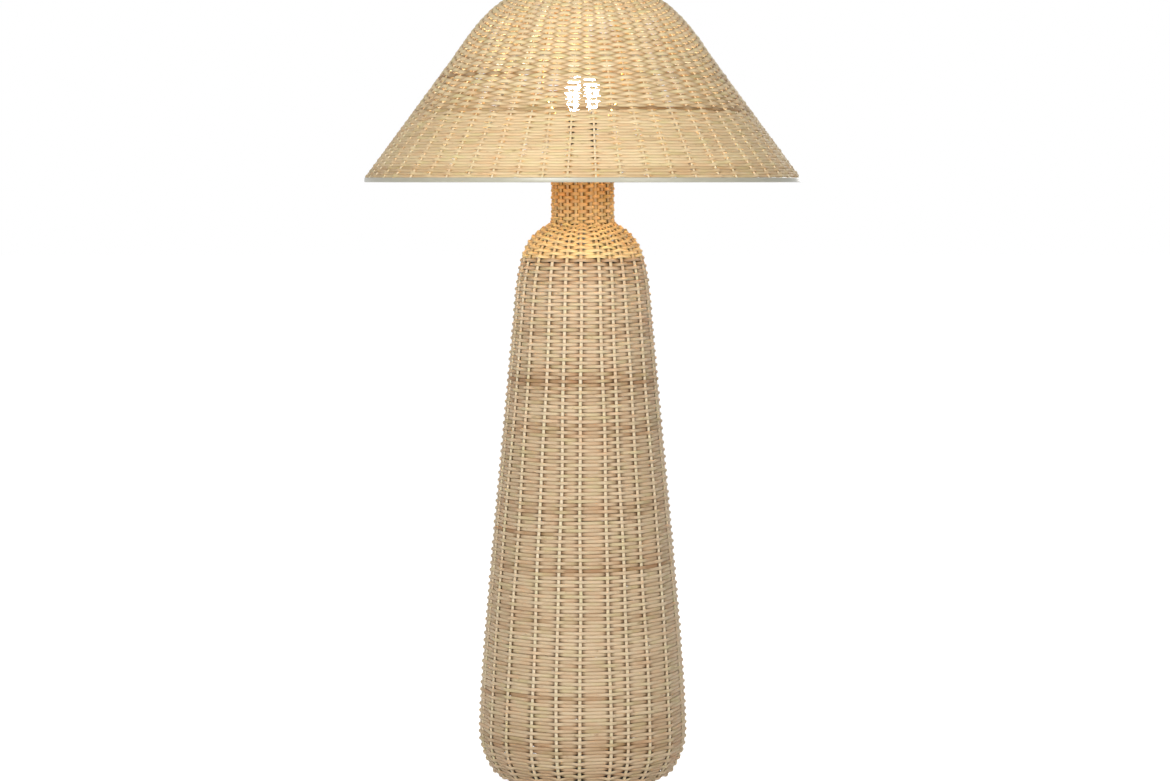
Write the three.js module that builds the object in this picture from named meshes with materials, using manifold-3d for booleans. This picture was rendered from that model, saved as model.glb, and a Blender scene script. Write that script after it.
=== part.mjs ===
// Rattan floor lamp: a woven bottle-shaped stand that carries a woven cone shade on a harp.
// Millimetres, +Z up. The origin is the middle of the foot, on the floor, and -Y is the front.

import * as THREE from "three";
import { mergeVertices } from "three/addons/utils/BufferGeometryUtils.js";
import Module from "manifold-3d";

const wasm = await Module();
wasm.setup();

// Clearances
const seatGap = 0.3; // between pieces that rest on or beside each other
const weldSink = 0.6; // how far two crossing wires sink into each other at a weld
const cutOverrun = 2; // how far every cutting tool runs past the face it opens
const roundSides = 14; // facets round small turned pieces
const smallestDetail = 0.02; // slivers below this size are merged away after a cut or join

// Woven body: outer outline of the bottle, from the foot to the top of the neck
const body = {
  wall: 8,
  footAngle: THREE.MathUtils.degToRad(32), // slope of the weave where it leaves the foot
  widestRadius: 155.5,
  widestHeight: 90,
  shoulderRadius: 102,
  shoulderHeight: 729,
  joinHeight: 791, // where the body's weave stops and the neck's begins
  neckBaseRadius: 50,
  neckBaseHeight: 846,
  neckBaseAngle: THREE.MathUtils.degToRad(28), // slope of the shoulder where it meets the neck
  neckRadius: 46,
  neckFillet: 16, // height of the hollow curve between shoulder and neck
  neckTopHeight: 945,
  segments: 32,
};
// Straight steps that each curve of the bottle's outline is drawn with
const bodySteps = { corner: 4, side: 4, shoulder: 5, fillet: 2 };
// Lengths of the outline's Bezier handles, as shares of the height that each curve covers
const bodyHandleShares = {
  footLow: 0.4,
  footHigh: 0.58,
  sideLow: 0.16,
  sideHigh: 0.34,
  shoulder: 0.52,
  neck: 0.37,
};

const border = { radius: 5.6, ringRadius: 102, sides: 6 }; // rolled border round the foot

// Foot: felt, ballast plate and its screws
const felt = { inset: 1.5, thickness: 2.7 };
const plate = { thickness: 12, edgeChamfer: 1.5, recessRadius: 15, recessDepth: 6 };
const screw = {
  count: 3,
  inset: 10.5,
  radius: 2.5,
  length: 19,
  headRadius: 5,
  headDepth: 2.7,
  socketRadius: 1.6,
  socketSides: 6,
  sides: 8,
};

// Wire frame that the body and neck are woven over
const frameWire = 5;
const frame = {
  ribs: 4,
  firstRib: THREE.MathUtils.degToRad(67.5), // clear of the stakes and of the grommet at the back
  waistRingHeight: 430,
  wireSides: 5,
  ringSegments: 16,
  lugWidth: 16,
  lugThickness: 3,
  lugReach: 24,
  bridgeWidth: 18,
  bridgeThickness: 3,
};

// Centre tube and the threaded nipples at its ends
const nipple = { radius: 5, bore: 3.5, engagement: 20, topInset: 2 };
const nippleClearance = 0.25; // radial, in every hole that a nipple passes
const tube = { radius: 8, bore: 6.5, cordHoleRadius: 4, cordHoleHeight: 30 };
const washer = { radius: 12, thickness: 1 };
const nut = { acrossFlats: 14, thickness: 3 };

const grommet = { boreRadius: 3.5, bodyRadius: 6, flangeRadius: 9, flangeThickness: 2.4, height: 66 };

const cap = { overhang: 1.5, thickness: 1.6, spigotDepth: 7, spigotThickness: 1.5 };

// Harp, its saddle and sleeves
const saddle = { halfSpan: 32, width: 13, thickness: 1.5, tabWidth: 4, tabHeight: 13, endOverhang: 0.8 };
const harp = {
  wire: 3.8,
  height: 238.5, // from the saddle's top to the face that the shade's spider rests on
  halfWidth: 60,
  widestHeight: 105,
  straightTop: 36, // height of the upright stretch that the sleeve slides on
  footRadius: 3.5,
  footBore: 2.6,
  footHeight: 15,
  footSides: 8,
  crownRadius: 10,
  crownThickness: 4.4,
  studRadius: 3,
  studHeight: 20,
  wireSides: 6,
  legSteps: 21,
};
// Heights and half widths of the harp's Bezier handles, as shares of its height and half width
const harpHandleShares = { risesTo: 0.25, flaresFrom: 0.33, bowsTo: 0.7, archHalfWidth: 0.76 };
const sleeve = { bore: 3.8, wall: 1, height: 12, travel: 16 };

// Lamp holder
const holder = {
  bossRadius: 8,
  bossHeight: 3.5,
  radius: 20.5,
  wall: 2.5,
  shoulderRise: 5,
  floor: 1, // the floor's top above the shoulder
  height: 34,
  collarHeight: 13.5,
  collarOverhang: 1.2,
  gripCount: 12,
  gripRadius: 1.4,
  gripSides: 6,
  segments: 28,
};
const insert = { thickness: 5 };
const screwShell = { bore: 13.6, wall: 0.6, height: 23 };
const contactStrip = { width: 6, thickness: 0.7, reach: 9 };

// Bulb
const bulb = {
  contactRadius: 4.5,
  contactHeight: 1.2,
  insulatorRadius: 11,
  insulatorHeight: 4,
  baseRadius: 13,
  baseHeight: 21,
  baseChamfer: 1.2,
  collarRadius: 18,
  collarHeight: 19,
  collarDip: 1.4, // how far the collar's flare falls inside a straight cone
  globeRadius: 28,
  globeWall: 1.4,
  boardThickness: 1.6,
  outerSteps: 7, // straight steps in the globe's arc, outside and inside
  innerSteps: 5,
  segments: 18,
};
const bulbConeAngle = THREE.MathUtils.degToRad(30); // the globe's neck, from the upright

// Woven shade, measured up from the lower edge of its hoop
const shade = {
  wall: 7,
  radius: 324, // outer edge, at the top of the hoop
  coneTopRadius: 196.4,
  coneTopHeight: 181.4,
  height: 291.5,
  openingRadius: 46,
  domeSteps: 7,
  segments: 36,
};
// Lengths of the dome's Bezier handles, as shares of the dome's height
const domeHandleShares = { cone: 0.4, crown: 0.77 };
const hoop = { height: 9, thickness: 3.2, overhang: 1, edgeRound: 1.2 };
const cageWire = 4;
const cage = { ribs: 6, wireSides: 5, ringSegments: 18, kneeInset: 1.8, kneeDrop: 2.8 };
const spider = {
  arms: 3,
  drop: 6.7,
  washerRadius: 12,
  washerThickness: 2,
  holeClearance: 0.4,
  ringSegments: 18,
};

// Finial
const finial = {
  washerRadius: 8,
  washerThickness: 1.2,
  footRadius: 7,
  footHeight: 3,
  neckRadius: 4.8,
  neckHeight: 4,
  ballRadius: 10,
  threadClearance: 0.3,
  ballSteps: 8,
  segments: 20,
};

// Sizes that follow from the ones above
const plateRadius = border.ringRadius - border.radius - seatGap;
const screwCircle = plateRadius - screw.inset;
const plateUnderside = felt.thickness + seatGap;
const plateTop = plateUnderside + plate.thickness;
const capUnderside = body.neckTopHeight + seatGap;
const capTop = capUnderside + cap.thickness;
const saddleTop = capTop + seatGap + saddle.thickness;
const nutTop = saddleTop + seatGap + nut.thickness;
const holderBottom = nutTop + seatGap;
const holderFloor = holderBottom + holder.bossHeight + holder.shoulderRise + holder.floor;
const nippleHole = nipple.radius + nippleClearance;

/** Merges a geometry's shared corners and drops the triangles that the merge flattens. */
function welded(geometry) {
  const bare = new THREE.BufferGeometry();
  bare.setAttribute("position", geometry.getAttribute("position"));
  bare.setIndex(geometry.getIndex());
  const merged = mergeVertices(bare);
  const corners = merged.getIndex().array;
  const kept = [];
  for (let first = 0; first < corners.length; first += 3) {
    const [a, b, c] = corners.slice(first, first + 3);
    if (a !== b && b !== c && c !== a) kept.push(a, b, c);
  }
  merged.setIndex(kept);
  return merged;
}

/** The closed geometry as a solid that can be joined and cut. */
function solid(geometry) {
  const closed = welded(geometry);
  const mesh = new wasm.Mesh({
    numProp: 3,
    vertProperties: Float32Array.from(closed.getAttribute("position").array),
    triVerts: Uint32Array.from(closed.getIndex().array),
  });
  return new wasm.Manifold(mesh);
}

/** The surface of a solid, as a geometry. */
function surface(manifold) {
  const mesh = manifold.simplify(smallestDetail).getMesh();
  const geometry = new THREE.BufferGeometry();
  geometry.setAttribute("position", new THREE.BufferAttribute(mesh.vertProperties, 3));
  geometry.setIndex(new THREE.BufferAttribute(mesh.triVerts, 1));
  return geometry;
}

/** Joins closed geometries into one. */
function join(first, ...others) {
  return surface(others.reduce((whole, other) => whole.add(solid(other)), solid(first)));
}

/** Cuts closed geometries out of the first. */
function cut(base, ...tools) {
  return surface(tools.reduce((whole, tool) => whole.subtract(solid(tool)), solid(base)));
}

/** A point of an outline: a radius and a height. */
function at(radius, height) {
  return new THREE.Vector2(radius, height);
}

/** Turns an anticlockwise outline of (radius, height) points round the Z axis. */
function turned(outline, segments = roundSides) {
  return new THREE.LatheGeometry(outline, segments).rotateX(Math.PI / 2);
}

/** A solid turned piece: the outline runs from the axis at the bottom to the axis at the top. */
function turnedSolid(outline, segments) {
  const low = outline[0];
  const high = outline[outline.length - 1];
  return turned([at(0, low.y), ...outline, at(0, high.y)], segments);
}

/** A turned piece with a hole through it: the outline closes on itself. */
function turnedRing(outline, segments) {
  return turned([...outline, outline[0]], segments);
}

/** A ring of rectangular section between two radii and two heights. */
function flatRing(inner, outer, bottom, top, segments) {
  return turnedRing([at(inner, bottom), at(outer, bottom), at(outer, top), at(inner, top)], segments);
}

/** A ring of round wire. */
function wireRing(radius, height, wire, sides, segments) {
  return new THREE.TorusGeometry(radius, wire / 2, sides, segments).translate(0, 0, height);
}

/** A wire along a path, its round section drawn with a number of sides. */
function wireAlong(path, wire, sides, steps) {
  const section = new THREE.Shape(around(sides, (angle) =>
    at((wire / 2) * Math.cos(angle), (wire / 2) * Math.sin(angle))));
  return new THREE.ExtrudeGeometry(section, { steps, extrudePath: path, bevelEnabled: false });
}

/** A smooth path whose steps fall on its own points instead of at equal lengths. */
class PointPath extends THREE.CatmullRomCurve3 {
  getUtoTmapping(share) {
    return share;
  }
}

/** A wire in the upright plane at the given angle, through points of (radius, height). */
function uprightWire(points, angle, wire, sides) {
  const corners = points.map((p) => new THREE.Vector3(p.x * Math.cos(angle), p.x * Math.sin(angle), p.y));
  return wireAlong(new PointPath(corners, false, "centripetal"), wire, sides, points.length - 1);
}

/** Samples connected curves into one polyline. */
function traced(parts) {
  const points = [parts[0].curve.getPoint(0)];
  for (const { curve, steps } of parts) points.push(...curve.getPoints(steps).slice(1));
  return points;
}

/** The polyline moved sideways, to the left of its direction, by a distance. */
function offset(points, distance) {
  return points.map((point, index) => {
    const before = points[Math.max(index - 1, 0)];
    const after = points[Math.min(index + 1, points.length - 1)];
    const direction = after.clone().sub(before).normalize();
    return at(point.x - direction.y * distance, point.y + direction.x * distance);
  });
}

/** The radius of a rising polyline at a height. */
function radiusAt(points, height) {
  const next = points.findIndex((point) => point.y >= height);
  if (next < 1) return next === 0 ? points[0].x : points[points.length - 1].x;
  const [low, high] = [points[next - 1], points[next]];
  return THREE.MathUtils.mapLinear(height, low.y, high.y, low.x, high.x);
}

/** The stretch of a rising polyline between two heights. */
function stretch(points, bottom, top) {
  const kept = points.filter((point) => point.y > bottom && point.y < top);
  if (points[0].y <= bottom) kept.unshift(at(radiusAt(points, bottom), bottom));
  if (points[points.length - 1].y >= top) kept.push(at(radiusAt(points, top), top));
  return kept;
}

/** A hexagonal nut with a round hole, standing on a height. */
function hexNut(acrossFlats, hole, thickness, height) {
  const radius = acrossFlats / 2 / Math.cos(Math.PI / 6);
  const corners = Array.from({ length: 6 }, (_, i) => {
    const angle = (i * Math.PI) / 3;
    return at(radius * Math.cos(angle), radius * Math.sin(angle));
  });
  const outline = new THREE.Shape(corners);
  outline.holes.push(new THREE.Path().absarc(0, 0, hole, 0, Math.PI * 2, true));
  const options = { depth: thickness, bevelEnabled: false, curveSegments: roundSides / 2 };
  return new THREE.ExtrudeGeometry(outline, options).translate(0, 0, height);
}

/** An upright round bar on the axis, between two heights. */
function roundBar(radius, bottom, top, sides = roundSides) {
  const bar = new THREE.CylinderGeometry(radius, radius, top - bottom, sides).rotateX(Math.PI / 2);
  return bar.translate(0, 0, (bottom + top) / 2);
}

/** Runs a function for each of a number of equal turns and lists what it returns. */
function around(count, make, start = 0) {
  return Array.from({ length: count }, (_, i) => make(start + (i * Math.PI * 2) / count, i));
}

/** Moves a geometry out from the axis to a place on a circle. */
function onCircle(geometry, radius, angle) {
  return geometry.translate(radius * Math.cos(angle), radius * Math.sin(angle), 0);
}

/** A finish: colour, roughness and metalness. */
function finish(color, roughness, metalness = 0) {
  return new THREE.MeshStandardMaterial({ color, roughness, metalness });
}

/** Adds a named piece to a group. */
function piece(parent, name, geometry, material) {
  const mesh = new THREE.Mesh(geometry, material);
  mesh.name = name;
  parent.add(mesh);
}

/** The outer outline of the bottle, from the foot border to the top of the neck. */
function bottleOutline() {
  const share = bodyHandleShares;
  const out = at(Math.cos(body.footAngle), Math.sin(body.footAngle));
  const borderHeight = plateUnderside + border.radius;
  const start = at(border.ringRadius, borderHeight)
    .addScaledVector(out, border.radius + seatGap)
    .add(at(out.y, -out.x).multiplyScalar(body.wall / 2));
  const widest = at(body.widestRadius, body.widestHeight);
  const cornerRise = widest.y - start.y;
  const shoulder = at(body.shoulderRadius, body.shoulderHeight);
  const sideRise = shoulder.y - widest.y;
  const lean = shoulder.clone().sub(widest).normalize();
  const neckBase = at(body.neckBaseRadius, body.neckBaseHeight);
  const shoulderRise = neckBase.y - shoulder.y;
  const neckBack = at(Math.cos(body.neckBaseAngle), -Math.sin(body.neckBaseAngle));
  const neckStart = at(body.neckRadius, neckBase.y + body.neckFillet);
  const corner = new THREE.CubicBezierCurve(
    start,
    start.clone().addScaledVector(out, cornerRise * share.footLow),
    at(widest.x, widest.y - cornerRise * share.footHigh),
    widest,
  );
  const side = new THREE.CubicBezierCurve(
    widest,
    at(widest.x, widest.y + sideRise * share.sideLow),
    shoulder.clone().addScaledVector(lean, -sideRise * share.sideHigh),
    shoulder,
  );
  const shoulderCurve = new THREE.CubicBezierCurve(
    shoulder,
    shoulder.clone().addScaledVector(lean, shoulderRise * share.shoulder),
    neckBase.clone().addScaledVector(neckBack, shoulderRise * share.neck),
    neckBase,
  );
  const filletRun = (neckBase.x - body.neckRadius) * Math.tan(body.neckBaseAngle);
  const filletCorner = at(body.neckRadius, neckBase.y + filletRun);
  const fillet = new THREE.QuadraticBezierCurve(neckBase, filletCorner, neckStart);
  const neck = new THREE.LineCurve(neckStart, at(body.neckRadius, body.neckTopHeight));
  return traced([
    { curve: corner, steps: bodySteps.corner },
    { curve: side, steps: bodySteps.side },
    { curve: shoulderCurve, steps: bodySteps.shoulder },
    { curve: fillet, steps: bodySteps.fillet },
    { curve: neck, steps: 1 },
  ]);
}

/** A woven wall between two heights of an outline: outer face, inner face and the two cut edges. */
function wovenWall(outer, inner, bottom, top, segments) {
  const outside = stretch(outer, bottom, top);
  const inside = stretch(inner, bottom, top);
  return turnedRing([...outside, ...inside.reverse()], segments);
}

/** The foot: felt, ballast plate, its screws, and the rolled border round it. */
function addFoot(stand) {
  const feltRadius = plateRadius - felt.inset;
  piece(stand, "felt_pad", turnedSolid([at(feltRadius, 0), at(feltRadius, felt.thickness)], body.segments),
    finish(0x4a4640, 0.95));

  const chamfer = plate.edgeChamfer;
  const disc = turnedSolid([
    at(plateRadius - chamfer, plateUnderside),
    at(plateRadius, plateUnderside + chamfer),
    at(plateRadius, plateTop - chamfer),
    at(plateRadius - chamfer, plateTop),
  ], body.segments);
  const screwHoles = around(screw.count, (angle) => {
    const outline = [
      at(screw.headRadius + seatGap, plateUnderside - cutOverrun),
      at(screw.headRadius + seatGap, plateUnderside + seatGap),
      at(screw.radius + seatGap, plateUnderside + seatGap + screw.headDepth),
      at(screw.radius + seatGap, plateTop + cutOverrun),
    ];
    return onCircle(turnedSolid(outline, screw.sides), screwCircle, angle);
  });
  const recessTop = plateUnderside + plate.recessDepth;
  const recess = roundBar(plate.recessRadius, plateUnderside - cutOverrun, recessTop);
  const hole = roundBar(nippleHole, plateUnderside - cutOverrun, plateTop + cutOverrun);
  piece(stand, "ballast_plate", cut(disc, recess, hole, ...screwHoles), finish(0x3d3f42, 0.6, 0.7));

  around(screw.count, (angle, index) => {
    const bolt = turnedSolid([
      at(screw.headRadius, plateUnderside + seatGap),
      at(screw.radius, plateUnderside + seatGap + screw.headDepth),
      at(screw.radius, plateUnderside + screw.length),
    ], screw.sides);
    const socketTop = plateUnderside + screw.headDepth;
    const driver = roundBar(screw.socketRadius, plateUnderside - cutOverrun, socketTop, screw.socketSides);
    const placed = onCircle(cut(bolt, driver), screwCircle, angle);
    piece(stand, `plate_screw_${index + 1}`, placed, finish(0x9a9c9e, 0.35, 1));
  });

  const borderHeight = plateUnderside + border.radius;
  const roll = new THREE.TorusGeometry(border.ringRadius, border.radius, border.sides, body.segments);
  piece(stand, "foot_border", roll.translate(0, 0, borderHeight), finish(0xb08a55, 0.7));
}

/** The welded frame inside the body: four ribs, five rings, the lugs and the neck bridge. */
function addBodyFrame(stand, bottle) {
  const wireLine = offset(bottle, body.wall + seatGap + frameWire / 2);
  const neckRingHeight = body.neckTopHeight - cap.spigotDepth - seatGap - frameWire / 2;
  const lugTop = plateTop + seatGap + frame.lugThickness;
  const footRingHeight = lugTop + frameWire / 2 - weldSink;
  const footRingRadius = border.ringRadius;
  const ribFoot = footRingHeight + frameWire - weldSink;
  const ribPoints = [
    at(footRingRadius, ribFoot),
    ...stretch(wireLine, ribFoot + frameWire, neckRingHeight + frameWire / 2),
  ];
  const ribs = around(frame.ribs, (angle) =>
    uprightWire(ribPoints, angle, frameWire, frame.wireSides), frame.firstRib);
  const insideRib = (height) => radiusAt(wireLine, height) - frameWire + weldSink;
  const ring = (radius, height) => wireRing(radius, height, frameWire, frame.wireSides, frame.ringSegments);
  const heights = [body.widestHeight, frame.waistRingHeight, body.joinHeight, neckRingHeight];
  const rings = heights.map((height) => ring(insideRib(height), height));
  const lugs = around(screw.count, (angle) => {
    const lug = new THREE.BoxGeometry(frame.lugReach, frame.lugWidth, frame.lugThickness);
    const outerEdge = footRingRadius + frameWire / 4;
    lug.translate(outerEdge - frame.lugReach / 2, 0, lugTop - frame.lugThickness / 2);
    return lug.rotateZ(angle);
  });
  const lugHoles = around(screw.count, (angle) => {
    const hole = roundBar(screw.radius + seatGap, plateTop - cutOverrun, lugTop + frameWire, screw.sides);
    return onCircle(hole, screwCircle, angle);
  });
  const neckRingRadius = insideRib(neckRingHeight);
  const bridge = new THREE.BoxGeometry(neckRingRadius * 2, frame.bridgeWidth, frame.bridgeThickness);
  bridge.translate(0, 0, neckRingHeight);
  const holeReach = frame.bridgeThickness + cutOverrun;
  const bridgeHole = roundBar(nippleHole, neckRingHeight - holeReach, neckRingHeight + holeReach);
  const welds = join(ring(footRingRadius, footRingHeight), ...rings, ...ribs, ...lugs, bridge);
  piece(stand, "body_frame", cut(welds, bridgeHole, ...lugHoles), finish(0x2c2d2f, 0.55, 0.6));
  return { bridgeUnderside: neckRingHeight - frame.bridgeThickness / 2 };
}

/** Where the grommet's two flanges meet the leaning, faceted wall at the back of the body. */
function grommetFaces(outer, inner) {
  const facetDrop = grommet.flangeRadius * Math.tan(Math.PI / body.segments);
  return {
    outerFace: radiusAt(outer, grommet.height + grommet.flangeRadius) + seatGap,
    innerFace: radiusAt(inner, grommet.height - grommet.flangeRadius) - facetDrop - seatGap,
  };
}

/** The woven skins and the grommet in the lower one. */
function addSkins(stand, bottle) {
  const inner = offset(bottle, body.wall);
  const rattan = finish(0xcdb48f, 0.65);
  const joinTop = body.joinHeight + seatGap;
  const lower = wovenWall(bottle, inner, -Infinity, body.joinHeight, body.segments);
  const cordHole = new THREE.CylinderGeometry(
    grommet.bodyRadius + seatGap, grommet.bodyRadius + seatGap, body.widestRadius, roundSides);
  cordHole.translate(0, body.widestRadius, grommet.height);
  piece(stand, "body_skin", cut(lower, cordHole), rattan);
  const upper = wovenWall(bottle, inner, joinTop, body.neckTopHeight, body.segments);
  piece(stand, "neck_skin", upper, rattan.clone());

  const { outerFace, innerFace } = grommetFaces(bottle, inner);
  const flange = grommet.flangeThickness;
  const outline = [
    at(grommet.boreRadius, innerFace - flange),
    at(grommet.flangeRadius - flange / 2, innerFace - flange),
    at(grommet.flangeRadius, innerFace),
    at(grommet.bodyRadius, innerFace),
    at(grommet.bodyRadius, outerFace),
    at(grommet.flangeRadius, outerFace),
    at(grommet.flangeRadius - flange / 2, outerFace + flange),
    at(grommet.boreRadius, outerFace + flange),
  ];
  const bush = turnedRing(outline).rotateX(-Math.PI / 2).translate(0, 0, grommet.height);
  piece(stand, "cord_grommet", bush, finish(0x232323, 0.8));
}

/** The tube up the middle, the nipples at its ends and what fastens them. */
function addCentreTube(stand, bridgeUnderside) {
  const steel = () => finish(0xb9bcc0, 0.35, 1);
  const bottom = plateTop + seatGap;
  const top = bridgeUnderside - seatGap;
  const outline = [
    at(nippleHole, bottom),
    at(tube.radius, bottom),
    at(tube.radius, top),
    at(nippleHole, top),
    at(nippleHole, top - nipple.engagement),
    at(tube.bore, top - nipple.engagement),
    at(tube.bore, bottom + nipple.engagement),
    at(nippleHole, bottom + nipple.engagement),
  ];
  const holeRadius = tube.cordHoleRadius;
  const holeDepth = tube.radius + cutOverrun;
  const cordHole = new THREE.CylinderGeometry(holeRadius, holeRadius, holeDepth, roundSides / 2);
  cordHole.translate(0, holeDepth / 2, bottom + tube.cordHoleHeight);
  piece(stand, "centre_tube", cut(turnedRing(outline), cordHole), steel());

  const nutBottom = plateUnderside + seatGap;
  const washerBottom = plateUnderside + plate.recessDepth - seatGap - washer.thickness;
  const lowerNutBottom = washerBottom - seatGap - nut.thickness;
  piece(stand, "lower_nipple",
    flatRing(nipple.bore, nipple.radius, nutBottom, bottom + nipple.engagement), steel());
  piece(stand, "lower_washer",
    flatRing(nippleHole, washer.radius, washerBottom, washerBottom + washer.thickness), steel());
  piece(stand, "lower_nut", hexNut(nut.acrossFlats, nippleHole, nut.thickness, lowerNutBottom), steel());
  const nippleTop = holderFloor - nipple.topInset;
  piece(stand, "upper_nipple",
    flatRing(nipple.bore, nipple.radius, top - nipple.engagement, nippleTop), steel());
}

/** The cap on the neck, the saddle on the cap and the nut that holds both. */
function addNeckTop(stand) {
  const spigotOuter = body.neckRadius - body.wall - seatGap;
  const spigotInner = spigotOuter - cap.spigotThickness;
  const spigotBottom = capUnderside - cap.spigotDepth;
  const rim = body.neckRadius + cap.overhang;
  const outline = [
    at(nippleHole, capUnderside),
    at(spigotInner, capUnderside),
    at(spigotInner, spigotBottom),
    at(spigotOuter, spigotBottom),
    at(spigotOuter, capUnderside),
    at(rim, capUnderside),
    at(rim, capUnderside + cap.thickness / 2),
    at(rim - cap.thickness / 2, capTop),
    at(nippleHole, capTop),
  ];
  piece(stand, "neck_cap", turnedRing(outline, body.segments), finish(0xb6934f, 0.35, 1));

  const strip = new THREE.Shape();
  const end = saddle.halfSpan + saddle.endOverhang;
  const corner = saddle.width / 2;
  strip.absarc(end - corner, 0, corner, -Math.PI / 2, Math.PI / 2);
  strip.absarc(corner - end, 0, corner, Math.PI / 2, (Math.PI * 3) / 2);
  strip.closePath();
  const options = { depth: saddle.thickness, bevelEnabled: false, curveSegments: roundSides / 2 };
  const base = new THREE.ExtrudeGeometry(strip, options);
  base.translate(0, 0, saddleTop - saddle.thickness);
  const tabs = [-1, 1].map((side) => {
    const tabDepth = saddle.tabHeight + saddle.thickness / 2;
    const tab = new THREE.BoxGeometry(saddle.thickness, saddle.tabWidth, tabDepth);
    return tab.translate(side * saddle.halfSpan, 0, saddleTop + saddle.tabHeight - tabDepth / 2);
  });
  const hole = roundBar(nippleHole, capTop - cutOverrun, saddleTop + cutOverrun);
  piece(stand, "harp_saddle", cut(join(base, ...tabs), hole), finish(0xb6934f, 0.3, 1));
  piece(stand, "saddle_nut", hexNut(nut.acrossFlats, nippleHole, nut.thickness, saddleTop + seatGap),
    finish(0xb9bcc0, 0.35, 1));
}

/** One leg of the harp: upright beside the lamp holder, bowed round the bulb, arched to the crown. */
function harpLeg(side) {
  const share = harpHandleShares;
  const spot = (x, z) => new THREE.Vector3(side * x, 0, saddleTop + z);
  const wireTop = harp.height - harp.crownThickness / 2;
  const footTop = spot(saddle.halfSpan, harp.footHeight - harp.wire / 2);
  const bend = spot(saddle.halfSpan, harp.straightTop);
  const rise = spot(saddle.halfSpan, harp.height * share.risesTo);
  const flare = spot(harp.halfWidth, harp.height * share.flaresFrom);
  const widest = spot(harp.halfWidth, harp.widestHeight);
  const bow = spot(harp.halfWidth, harp.height * share.bowsTo);
  const arch = spot(harp.halfWidth * share.archHalfWidth, wireTop);
  const end = spot(harp.crownRadius - harp.wire / 2, wireTop);
  const path = new THREE.CurvePath();
  path.add(new THREE.LineCurve3(footTop, bend));
  path.add(new THREE.CubicBezierCurve3(bend, rise, flare, widest));
  path.add(new THREE.CubicBezierCurve3(widest, bow, arch, end));
  return wireAlong(path, harp.wire, harp.wireSides, harp.legSteps);
}

/** The harp: two bowed legs with hollow feet that drop over the saddle's tabs, and a crown with a stud. */
function addHarp(stand) {
  const crownTop = saddleTop + harp.height;
  const crownBottom = crownTop - harp.crownThickness;
  const crown = turnedSolid([
    at(harp.crownRadius - harp.crownThickness / 4, crownBottom),
    at(harp.crownRadius, crownBottom + harp.crownThickness / 4),
    at(harp.crownRadius, crownTop),
    at(harp.studRadius, crownTop),
    at(harp.studRadius, crownTop + harp.studHeight),
  ]);
  const feet = [-1, 1].map((side) => {
    const boreTop = saddleTop + saddle.tabHeight + seatGap;
    const foot = roundBar(harp.footRadius, saddleTop + seatGap, saddleTop + harp.footHeight, harp.footSides);
    const bore = roundBar(harp.footBore, saddleTop - cutOverrun, boreTop, harp.footSides);
    return cut(foot, bore).translate(side * saddle.halfSpan, 0, 0);
  });
  piece(stand, "harp", join(crown, ...feet, harpLeg(-1), harpLeg(1)), finish(0xb6934f, 0.3, 1));
  return crownTop;
}

/** A sleeve that locks one foot of the harp to its tab. */
function addSleeve(parent, name, side) {
  const bottom = saddleTop + seatGap;
  const outer = sleeve.bore + sleeve.wall;
  const lip = sleeve.wall / 2;
  const outline = [
    at(sleeve.bore, bottom),
    at(outer + lip, bottom),
    at(outer, bottom + sleeve.wall),
    at(outer, bottom + sleeve.height - lip),
    at(outer - lip, bottom + sleeve.height),
    at(sleeve.bore, bottom + sleeve.height),
  ];
  piece(parent, name, turnedRing(outline).translate(side * saddle.halfSpan, 0, 0), finish(0xb6934f, 0.3, 1));
}

/** The lamp holder: moulded cup and ribbed collar round an insert with the screw shell and its contact. */
function addLampHolder(stand) {
  const black = () => finish(0x1c1a18, 0.45);
  const cupTop = holderBottom + holder.height;
  const bore = holder.radius - holder.wall;
  const cup = turnedRing([
    at(nippleHole, holderBottom),
    at(holder.bossRadius, holderBottom),
    at(holder.bossRadius, holderBottom + holder.bossHeight),
    at(holder.radius, holderFloor - holder.floor),
    at(holder.radius, cupTop),
    at(bore, cupTop),
    at(bore, holderFloor),
    at(nippleHole, holderFloor),
  ]);
  piece(stand, "socket_cup", cup, black());

  const collarBottom = cupTop + seatGap;
  const collarTop = collarBottom + holder.collarHeight;
  const collarRadius = holder.radius + holder.collarOverhang;
  const collar = flatRing(bore, collarRadius, collarBottom, collarTop, holder.segments);
  const gripTop = collarTop - holder.gripRadius * 2;
  const grips = around(holder.gripCount, (angle) => onCircle(
    roundBar(holder.gripRadius, collarBottom - cutOverrun, gripTop, holder.gripSides), collarRadius, angle));
  piece(stand, "socket_collar", cut(collar, ...grips), black());

  const insertBottom = holderFloor + seatGap;
  const insertTop = insertBottom + insert.thickness;
  const disc = turnedSolid([at(bore - seatGap, insertBottom), at(bore - seatGap, insertTop)]);
  piece(stand, "socket_insert", disc, finish(0xe8e4da, 0.4));
  const shellBottom = insertTop + seatGap;
  const shellOuter = screwShell.bore + screwShell.wall;
  piece(stand, "socket_screw_shell",
    flatRing(screwShell.bore, shellOuter, shellBottom, shellBottom + screwShell.height),
    finish(0xb6934f, 0.35, 1));
  const strip = new THREE.BoxGeometry(contactStrip.reach, contactStrip.width, contactStrip.thickness);
  strip.translate(0, 0, shellBottom + contactStrip.thickness / 2);
  piece(stand, "socket_contact", strip, finish(0xb6934f, 0.35, 1));
  return shellBottom + contactStrip.thickness + seatGap;
}

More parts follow.
